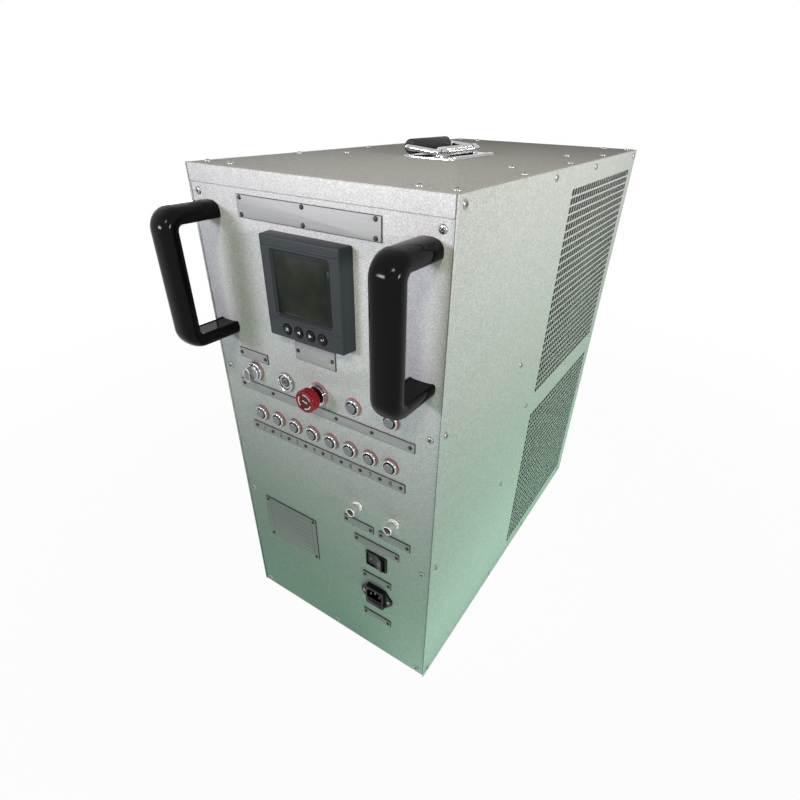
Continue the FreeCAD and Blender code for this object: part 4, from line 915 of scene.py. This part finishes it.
def mushroom():
    """Red mushroom with a ribbed skirt and a dished face that carries arrows, a ring and a bar."""
    place = on_front("estop_collar")
    head = Build("stop_mushroom", "red_plastic", "estop_head", place, "estop_mushroom")
    profile = [(6.75, 11.7), (11.2, 11.7), (12.3, 12.2), (12.95, 13.2), (13.1, 14.0),
               (13.15, 18.6), (12.6, 19.2), (12.6, 19.8), (13.35, 20.4), (13.5, 21.2),
               (13.5, 22.6), (13.15, 23.7), (12.5, 24.35), (11.7, 24.5), (RIM_R, RIM_W)]
    # Skirt in the lighter red of painted light; the dished face below in the darker red of painted
    # shade
    head.add(ribbed_skirt(profile, 36, 0.34, 13.5, 18.9), LIGHTER_RED_GLOSS)
    dish = [flat_ring(circle(r, MUSHROOM_SIDES), face_w(r))
            for r in (RIM_R, 9.0, 7.0, 5.0, 3.0, AXIS_R)]
    head.add(loft(dish, close_low=False), DARKER_RED_FACE)
    for start in (20, 140, 260):
        head.add(arc_arrow(8.0, 9.3, start + 82, start), MARK_WHITE)
    head.add(tube([(5.7, face_w(5.7) - 0.2), (6.2, face_w(6.2) - 0.2), (6.1, face_w(6) + 0.22),
                   (5.8, face_w(6) + 0.22)]), LIGHTER_RED_GLOSS)
    bar = slab(7.4, 1.5, face_w(0) - 0.1, face_w(0) + 0.25, 0.3, 0.1)
    head.add(bar, MARK_WHITE, turned(place, -16.0))
    head.done()


# ------------------------------------------------------------------ sockets
SOCKET_FLANGE_R = 7.53


def socket_places():
    """Centres (x, z) of the two signal sockets, in metres."""
    shells = "socket_shells"
    return [(lo(shells).x + SOCKET_FLANGE_R * MM, mid(shells).z),
            (hi(shells).x - SOCKET_FLANGE_R * MM, mid(shells).z)]


def signal_sockets():
    """Two round panel sockets with a turned flange, a key and five pins."""
    shells = Build("socket_barrels", "bright_metal", "socket_shells")
    inserts = Build("socket_cores", "black_plastic", "socket_inserts")
    shell = tube([(4.95, 0.0), (7.4, 0.0), (7.5, 0.3), (7.5, 2.3), (7.1, 2.9), (6.5, 3.1),
                  (6.3, 3.5), (6.3, 4.6), (5.9, 4.9), (5.9, 5.6), (6.2, 5.9), (6.2, 15.8),
                  (6.0, 16.6), (5.6, 17.0), (5.2, 16.8), (5.0, 16.2)])
    pin = lathe([(0.5, 13.0), (0.5, 15.3), (0.3, 15.7), (0, 15.8)], 12)
    for x, z in socket_places():
        place = front(x, z)
        shells.add(shell, BRIGHT_NICKEL, place)
        inserts.add(lathe([(4.9, -12.0), (4.9, 13.2), (4.5, 13.4), (0, 13.4)]), BLACK_PLASTIC,
                    place)
        inserts.add(slab(2.2, 0.9, 13.2, 15.4, 0.2, 0.2, (0, 4.3)), BLACK_PLASTIC, place)
        for u, v in arc(2.7, 126, 414, 4):
            # socket pins in the nickel darkened as painted shade
            inserts.add(moved(pin, u, v), SHADED_NICKEL, place)
    shells.done()
    inserts.done()


# ------------------------------------------------------------------ rocker switch
def rocker_rim():
    """Bevelled rim of the mains rocker, and its walls behind the panel."""
    node = "rocker_frame"
    s, wall, lap = size(node), 2.0, 1.2
    hole_w, hole_h = s.x - 2 * wall, s.z - 2 * wall
    hole = rounded_rect(hole_w, hole_h, 0.6)
    behind = rounded_rect(hole_w + 2 * lap, hole_h + 2 * lap, 0.8)
    rim = collar_frame(rounded_rect(s.x, s.z, 1.6), hole, 0.0, front_w(node), 0.9, -0.5)
    walls = collar_frame(behind, hole, back_w(node), -0.1, 0.1, back_w(node))
    piece("rocker_rim", "black_plastic", node, on_front(node), (rim, BLACK_PLASTIC),
          (walls, BLACK_PLASTIC))


def rocker_paddle():
    """Paddle with a hollowed face, tilted to one side, with the on and off marks."""
    pivot = Matrix.Translation((0, 0, -6.0))
    tilt = pivot @ Matrix.Rotation(math.radians(-11.0), 4, "Y") @ pivot.inverted()
    place = on_front("rocker_frame") @ tilt
    paddle = Build("rocker_key", "black_plastic", "rocker_paddle", place, "rocker")
    half_w, half_h = 12.6, 10.7
    low, rise, power = 1.8, 1.8, 1.4

    def level(u):
        return low + rise * (abs(u) / half_w) ** power

    us = [-half_w + 2 * half_w * i / 12 for i in range(13)]
    side = [(u, level(u)) for u in us] + [(half_w, -8.0), (-half_w, -8.0)]
    paddle.add(loft([[(u, v, w) for u, w in side] for v in (-half_h, half_h)]), BLACK_PLASTIC)
    ring = tube([(1.7, -0.1), (2.4, -0.1), (2.4, 0.08), (1.7, 0.08)], 32)
    for way, mark in ((-1, slab(0.8, 4.6, -0.1, 0.08, 0.2, 0.02)), (1, ring)):
        u = way * 7.4
        slope = rise * power * (abs(u) / half_w) ** (power - 1) / half_w
        lean = Matrix.Rotation(-way * math.atan(slope), 4, "Y")
        paddle.add(mark, MARK_WHITE, shifted(place, u, 0, level(u)) @ lean)
    paddle.done()


# ------------------------------------------------------------------ mains inlet
def cut_rect(w, h, cut):
    """Rectangle whose two upper corners are cut, with three points at each corner."""
    points = []
    for su, sv in ((1, 1), (-1, 1), (-1, -1), (1, -1)):
        off = cut if sv > 0 else 0
        first, last = (su * w / 2, sv * h / 2 - off), (su * (w / 2 - off), sv * h / 2)
        centre = ((first[0] + last[0]) / 2, (first[1] + last[1]) / 2)
        points += [first, centre, last][::su * sv]
    return points


def mains_inlet():
    """Appliance inlet: eared flange, shrouded socket over the fuse drawer's well, two screws."""
    node = "inlet_housing"
    s, place, proud = size(node), on_front(node), front_w(node)
    half_w, half_h, flange_t = 14.5, s.z / 2, 3.0
    ear, tip, split = 3.5, s.x / 2, -4.5
    build = Build("inlet_body", "black_plastic", node, place)
    outline = [(tip, -ear), (tip, ear), (half_w, half_h), (-half_w, half_h),
               (-tip, ear), (-tip, -ear), (-half_w, -half_h), (half_w, -half_h)]
    hole = [(max(min(u, 13.3), -13.3), max(min(v, 15.6), -15.6)) for u, v in outline]
    build.add(collar_frame(outline, hole, 0.0, flange_t, 0.6, 0.0), BLACK_PLASTIC)
    for end, opening, rise, floor in ((half_h, cut_rect(24.4, 16.6, 4.2), 5.0, -8.6),
                                      (-half_h, rounded_rect(22.6, 8.2, 0.5, 2), -10.8, -20.0)):
        centre, tall = (end + split) / 2, abs(end - split) - 0.15
        outer = [(u, v + centre) for u, v in rounded_rect(2 * half_w, tall, 1.2, 2)]
        inner = [(u, v + rise) for u, v in opening]
        rings = [flat_ring(outer, 0.4), flat_ring(outer, proud - 0.5),
                 [(u * 0.975, centre + (v - centre) * 0.965, proud) for u, v in outer],
                 flat_ring(inner, proud), flat_ring(inner, floor)]
        build.add(loft(rings, close_low=False), BLACK_PLASTIC)
    build.add(slab(2 * half_w - 3, s.z - 3, back_w(node), -20.5, 1.0, 0.2), BLACK_PLASTIC)
    for way in (-1, 1):
        screw(build, INLET_SCREW, shifted(place, way * 20.0, 0, flange_t), 25 * way)
    build.done()


def fuse_drawer():
    """Front of the fuse drawer, with a ridge for the finger."""
    node = "fuse_drawer"
    s, w = size(node), front_w(node)
    piece("fuse_drawer_front", "black_plastic", node, on_front(node),
          (slab(s.x, s.z, back_w(node), w, 0.6, 0.4), BLACK_PLASTIC),
          (slab(8.0, 1.1, w - 0.2, w + 0.35, 0.3, 0.2, (0, 1.6)), BLACK_PLASTIC),
          body="fuse_carrier")


# ------------------------------------------------------------------ lifting handle
LIFT = top(mid("lift_plate").x, mid("lift_plate").y)
ALONG_HINGE = Matrix.Rotation(math.radians(-90), 4, "X")
HINGE_R = 5.3              # outside of the knuckles and of the spring between them
SPRING_HALF = size("lift_spring").y / 2


def from_plate(node):
    """Place (u, w) of a node's middle from the lifting plate, seen along the hinge."""
    return (mid(node).x - mid("lift_plate").x) / MM, (mid(node).z - TOP_Z) / MM


def lifting_plate():
    """Chrome plate with a lip, two knuckles on their feet and four screws."""
    s, lip, thick = size("lift_plate"), 1.2, 1.5
    hinge_u, hinge_w = from_plate("lift_spring")
    base = Build("lifting_plate", "bright_metal", "lift_plate", LIFT)
    base.add(slab(s.x, s.y, 0.0, thick, 6.0, 0.5), CHROME)
    base.add(slab(lip * 2, s.y - 14, 1.2, 3.4, 1.0, 0.8, (s.x / 2 - lip - 0.4, 0)), CHROME)
    bore, r, half = 3.55, HINGE_R, 6.0
    knuckle = tube([(bore, -half), (r - 0.5, -half), (r, -half + 0.5), (r, half - 0.5),
                    (r - 0.5, half), (bore, half)], 32)
    for way in (-1, 1):
        v = way * (SPRING_HALF + half + 0.3)
        base.add(knuckle, CHROME, shifted(LIFT, hinge_u, v, hinge_w) @ ALONG_HINGE)
        base.add(slab(2 * r - 1.0, 2 * half - 0.6, 1.2, hinge_w - 3.4, 0.6, 0.3, (hinge_u, v)),
                 CHROME)
        for u in (-27.0, 27.0):
            screw(base, BASE_SCREW, shifted(LIFT, u, way * 50.0, thick), 20 * way + u)
    base.done()


def hinge_spring():
    """Coil spring round the hinge side of the bail."""
    turns, steps, wire = 22, 14, 1.45
    hinge_u, hinge_w = from_plate("lift_spring")
    r, reach = HINGE_R - wire / 2, SPRING_HALF - wire
    path = []
    for i in range(turns * steps + 1):
        a = 2 * math.pi * i / steps
        path.append((hinge_u + r * math.cos(a), -reach + 2 * reach * i / (turns * steps),
                     hinge_w + r * math.sin(a)))
    coil = swept(path, circle(wire * 0.62, 8))
    piece("hinge_spring", "bright_metal", "lift_spring", LIFT, (coil, CHROME), angle=60)


def bail_path():
    """Closed line of the bail: hinge side, rounded corners, two legs and the grip side."""
    (hinge_u, hinge_w), (grip_u, grip_w) = from_plate("lift_spring"), from_plate("lift_grip")
    half = (size("lift_bail").y - 2 * 3.4) / 2
    reach = math.hypot(hinge_u - grip_u, grip_w - hinge_w)
    tilt = math.atan2(grip_w - hinge_w, hinge_u - grip_u)
    near, far = 2.0, 8.0
    flat = []
    for du, dv, r, start in ((-near, half - near, near, 0), (far - reach, half - far, far, 90),
                             (far - reach, far - half, far, 180), (-near, near - half, near, 270)):
        flat += arc(r, start, start + 90, 8, du, dv)
    return [(hinge_u + u * math.cos(tilt), v, hinge_w - u * math.sin(tilt)) for u, v in flat]


def lifting_bail():
    """Wire bail with its grip, which fold down together."""
    wire = swept(bail_path(), circle(3.35, 20), True)
    piece("lifting_bail", "bright_metal", "lift_bail", LIFT, (wire, CHROME), body="lift_handle",
          angle=60)
    u, w = from_plate("lift_grip")
    half, r, bore = size("lift_grip").y / 2, size("lift_grip").x / 2, 3.5
    profile = [(bore, -half), (r - 2.2, -half), (r - 0.7, -half + 0.6), (r, -half + 2.2),
               (r, half - 2.2), (r - 0.7, half - 0.6), (r - 2.2, half), (bore, half)]
    piece("lifting_grip", "grip_rubber", "lift_grip", shifted(LIFT, u, 0, w) @ ALONG_HINGE,
          (tube(profile), GRIP), body="lift_handle")


# ------------------------------------------------------------------ rear terminals
def terminal_plate():
    """Insulating board with four screws."""
    node = "terminal_board"
    s, place = size(node), rear(mid(node).x, mid(node).z)
    board = Build("terminal_plate", "board_black", node, place)
    board.add(slab(s.x, s.z, 0.0, s.y, 3.0, 0.8), BLACK_PLASTIC)
    for u in (-116.0, 116.0):
        for v in (-23.0, 23.0):
            screw(board, BASE_SCREW, shifted(place, u, v, s.y), u + v)
    board.done()


def threaded_rod(radius, low, high):
    """Rod with a rounded thread and a soft end."""
    pitch, depth = 1.5, 0.5
    profile = [(radius - depth, low)]
    for i in range(int((high - low - 1.0) / pitch)):
        start = low + pitch * i
        profile += [(radius - depth, start + 0.1), (radius, start + 0.65), (radius, start + 0.85),
                    (radius - depth, start + 1.4)]
    profile += [(radius - 0.3, high - 0.8), (radius - 1.0, high), (0, high)]
    return lathe(profile, 32)


def terminal_rods():
    """Five studs, each with a square neck, a washer and a nut."""
    board, studs = "terminal_board", "terminal_studs"
    count, nut_r, nut_t, washer_t = 5, 10.97, 10.0, 1.6
    thick = size(board).y
    inside, reach = (lo(studs).y - REAR_Y) / MM, (hi(studs).y - REAR_Y) / MM
    span = size(studs).x - 2 * nut_r
    neck = slab(12.0, 12.0, inside, thick + 0.2, 0.6, 0.2)
    rod = threaded_rod(6.0, thick, reach)
    washer = tube([(6.2, thick), (10.6, thick), (10.8, thick + 0.3),
                   (10.8, thick + washer_t - 0.3), (10.6, thick + washer_t),
                   (6.2, thick + washer_t)])
    nut = prism(circle(nut_r, 6), thick + washer_t, thick + nut_t, 0.8)
    rods = Build("terminal_rods", "stud_brass", studs)
    for u, v in in_a_row(count, span / (count - 1)):
        at = shifted(rear(mid(board).x, mid(board).z), u, v, 0)
        for shape, metal in ((neck, BRASS), (rod, BRASS), (washer, SHADED_NICKEL), (nut, BRASS)):
            rods.add(shape, metal, at)
    rods.done()


# ------------------------------------------------------------------ resistor elements
def elements():
    """Finned resistor elements between the end plates of their rack."""
    node = "resistor_elements"
    low, s = lo(node), size(node)
    columns, rows, w, h = 2, 12, 36.0, 24.0
    fin, gap, core = 1.2, 4.8, 0.62
    box = [(w / 2, h / 2), (-w / 2, h / 2), (-w / 2, -h / 2), (w / 2, -h / 2)]
    thin = [(u * core, v * core) for u, v in box]
    rings = []
    for i in range(int(s.y / (fin + gap))):
        start = i * (fin + gap)
        rings += [flat_ring(box, start), flat_ring(box, start + fin),
                  flat_ring(thin, start + fin), flat_ring(thin, start + fin + gap)]
    bar = loft(rings + [flat_ring(box, s.y - fin), flat_ring(box, s.y)])
    bars = Build("element_bars", "element_metal", node)
    for i in range(columns):
        for j in range(rows):
            x = low.x + (w / 2 + (s.x - w) * i / (columns - 1)) * MM
            z = low.z + (h / 2 + (s.z - h) * j / (rows - 1)) * MM
            bars.add(bar, ELEMENT, on(Vector((x, low.y + s.y * MM, z)), X, Z))
    bars.done()


side_sheet("right_sheet", "side_panel_right", right(0, 0), 1)
side_sheet("left_sheet", "side_panel_left", left(0, 0), -1)
cover()
case_screws()
handle("left_handle", "front_handle_left")
handle("right_handle", "front_handle_right")
for make_piece in (title_plate, ruled_plate, label_plates, meter_shell, meter_pane, meter_keys,
                   push_buttons, seals, selector, fault_lamp, stop_collar, stop_stem, mushroom,
                   signal_sockets, rocker_rim, rocker_paddle, mains_inlet, fuse_drawer,
                   lifting_plate, hinge_spring, lifting_bail, terminal_plate, terminal_rods,
                   elements):
    make_piece()

# ------------------------------------------------------------------ stage, light and camera
WHITE = (1, 1, 1, 1)
FLOOR_GREEN = (0.36, 0.70, 0.49, 1)     # light that the painted workshop floor sends to the object
FLOOR_BRIGHT = (1.60, 2.50, 1.85, 1)    # the same where it is lit more, on the right
FLOOR_PALE = (0.16, 0.19, 0.17, 1)      # the same farther away
FILL_LOW, FILL_HIGH = 0.05, 0.045       # soft fill at the horizon and from above
CEILING = (1.0, 0.96, 0.70, 1)          # colour of the fill from above
SOFTBOXES = {       # place, point aimed at, width, height, power, spread in degrees, colour
    "key_front_left": ((-1.0, -2.1, 1.0), (0.0, -0.3, 0.81), 0.9, 0.3, 1.85, 32,
                       (0.885, 0.865, 1.0)),
    "front_above": ((0.5, -1.6, 1.8), (0.08, -0.28, 0.74), 0.6, 0.3, 0.52, 26, (1.0, 0.97, 0.74)),
    "fill_right": ((2.2, -0.6, 0.95), (0.16, 0.0, 0.80), 1.2, 0.3, 2.15, 31, (1.0, 0.93, 0.92)),
    "rear_left": ((-2.2, 1.5, 0.5), (0.0, 0.1, 0.42), 1.2, 1.0, 5.0, 90, (1, 1, 1))}


def color_mix(tree, factor, a, b):
    """Mix of two colours."""
    return add_node(tree, "Mix", "Result", {"Factor": factor, "A": a, "B": b}, data_type="RGBA")


def faded(tree, start, end):
    """Value that rises from 0 to 1 between two distances from the middle of the floor."""
    where = add_node(tree, "TexCoord", "Object", {})
    reach = add_node(tree, "VectorMath", "Value", {0: where}, operation="LENGTH")
    return ranged(tree, reach, start, end, interpolation_type="SMOOTHSTEP")


def seen_ray(tree):
    """1 where the camera, a reflection or a view through glass meets a surface."""
    camera = add_node(tree, "LightPath", "Is Camera Ray", {})
    glossy, through = (camera.node.outputs["Is %s Ray" % way] for way in ("Glossy", "Transmission"))
    seen = add_node(tree, "Math", "Value", {0: camera, 1: glossy}, operation="MAXIMUM")
    return add_node(tree, "Math", "Value", {0: seen, 1: through}, operation="MAXIMUM")


def floor_material():
    """White floor that keeps the shadow; near the object its bounced light is that of green paint."""
    mat = bpy.data.materials.new("studio_floor")
    mat.use_nodes = True
    mat.cycles.emission_sampling = "NONE"
    tree = mat.node_tree
    tree.nodes.remove(tree.nodes["Principled BSDF"])
    where = add_node(tree, "TexCoord", "Object", {})
    x = add_node(tree, "SeparateXYZ", "X", {"Vector": where})
    near = color_mix(tree, ranged(tree, x, 0.05, 0.35), FLOOR_GREEN, FLOOR_BRIGHT)
    tint = color_mix(tree, faded(tree, 0.45, 1.15), near, FLOOR_PALE)
    bounce = add_node(tree, "Emission", "Emission", {"Color": tint, "Strength": 1.0})
    shaded = add_node(tree, "BsdfDiffuse", "BSDF", {"Color": (0.9, 0.9, 0.9, 1)})
    white = add_node(tree, "Emission", "Emission", {"Color": WHITE, "Strength": 1.0})
    glow = ranged(tree, faded(tree, 0.5, 1.6), 0.0, 1.0, 0.97, 1.0)
    pale = add_node(tree, "MixShader", "Shader", {0: glow, 1: shaded, 2: white})
    choice = add_node(tree, "MixShader", "Shader", {0: seen_ray(tree), 1: bounce, 2: pale})
    tree.links.new(choice, tree.nodes["Material Output"].inputs["Surface"])
    return mat


def make_floor():
    """Large plain floor just under the object."""
    half = 12.0
    mesh = bpy.data.meshes.new("floor")
    mesh.from_pydata([(-half, -half, 0), (half, -half, 0), (half, half, 0), (-half, half, 0)], [],
                     [(0, 1, 2, 3)])
    mesh.materials.append(floor_material())
    obj = bpy.data.objects.new("floor", mesh)
    bpy.context.scene.collection.objects.link(obj)
    obj.location.z = -0.0005


def make_world():
    """White surround for the camera and for reflections, and a soft fill that is warmer above."""
    world = bpy.data.worlds.new("studio")
    bpy.context.scene.world = world
    world.use_nodes = True
    tree = world.node_tree
    background = tree.nodes["Background"].inputs
    where = add_node(tree, "TexCoord", "Generated", {})
    up = add_node(tree, "SeparateXYZ", "Z", {"Vector": where})
    seen = seen_ray(tree)
    fill = ranged(tree, up, 0.0, 1.0, FILL_LOW, FILL_HIGH)
    strength = add_node(tree, "Mix", "Result", {"Factor": seen, "A": fill, "B": 1.0})
    tree.links.new(strength, background["Strength"])
    warm = color_mix(tree, up, WHITE, CEILING)
    tree.links.new(color_mix(tree, seen, warm, WHITE), background["Color"])


def softbox(name, location, target, width, height, power, spread, color):
    """Rectangular lamp with a grid that looks at a point."""
    lamp = bpy.data.lights.new(name, "AREA")
    lamp.shape = "RECTANGLE"
    lamp.size, lamp.size_y = width, height
    lamp.energy = power
    lamp.color = color
    lamp.spread = math.radians(spread)
    obj = bpy.data.objects.new(name, lamp)
    bpy.context.scene.collection.objects.link(obj)
    obj.location = location
    obj.rotation_euler = (Vector(target) - Vector(location)).to_track_quat("-Z", "Y").to_euler()


def make_camera():
    """Camera at the place and angle from which the object is shown."""
    camera = bpy.data.cameras.new("camera")
    camera.sensor_width = 36.0
    camera.lens = 22.35
    camera.shift_x = -0.0062
    camera.shift_y = 0.0367
    camera.clip_start = 0.01
    obj = bpy.data.objects.new("camera", camera)
    bpy.context.scene.collection.objects.link(obj)
    obj.location = (0.3463, -0.6624, 0.6996)
    obj.rotation_euler = Euler([math.radians(a) for a in (56.472, -1.274, 33.220)], "XYZ")
    bpy.context.scene.camera = obj


make_floor()
make_world()
for lamp_name, values in SOFTBOXES.items():
    softbox(lamp_name, *values)
make_camera()
bpy.context.scene.view_settings.view_transform = "Standard"
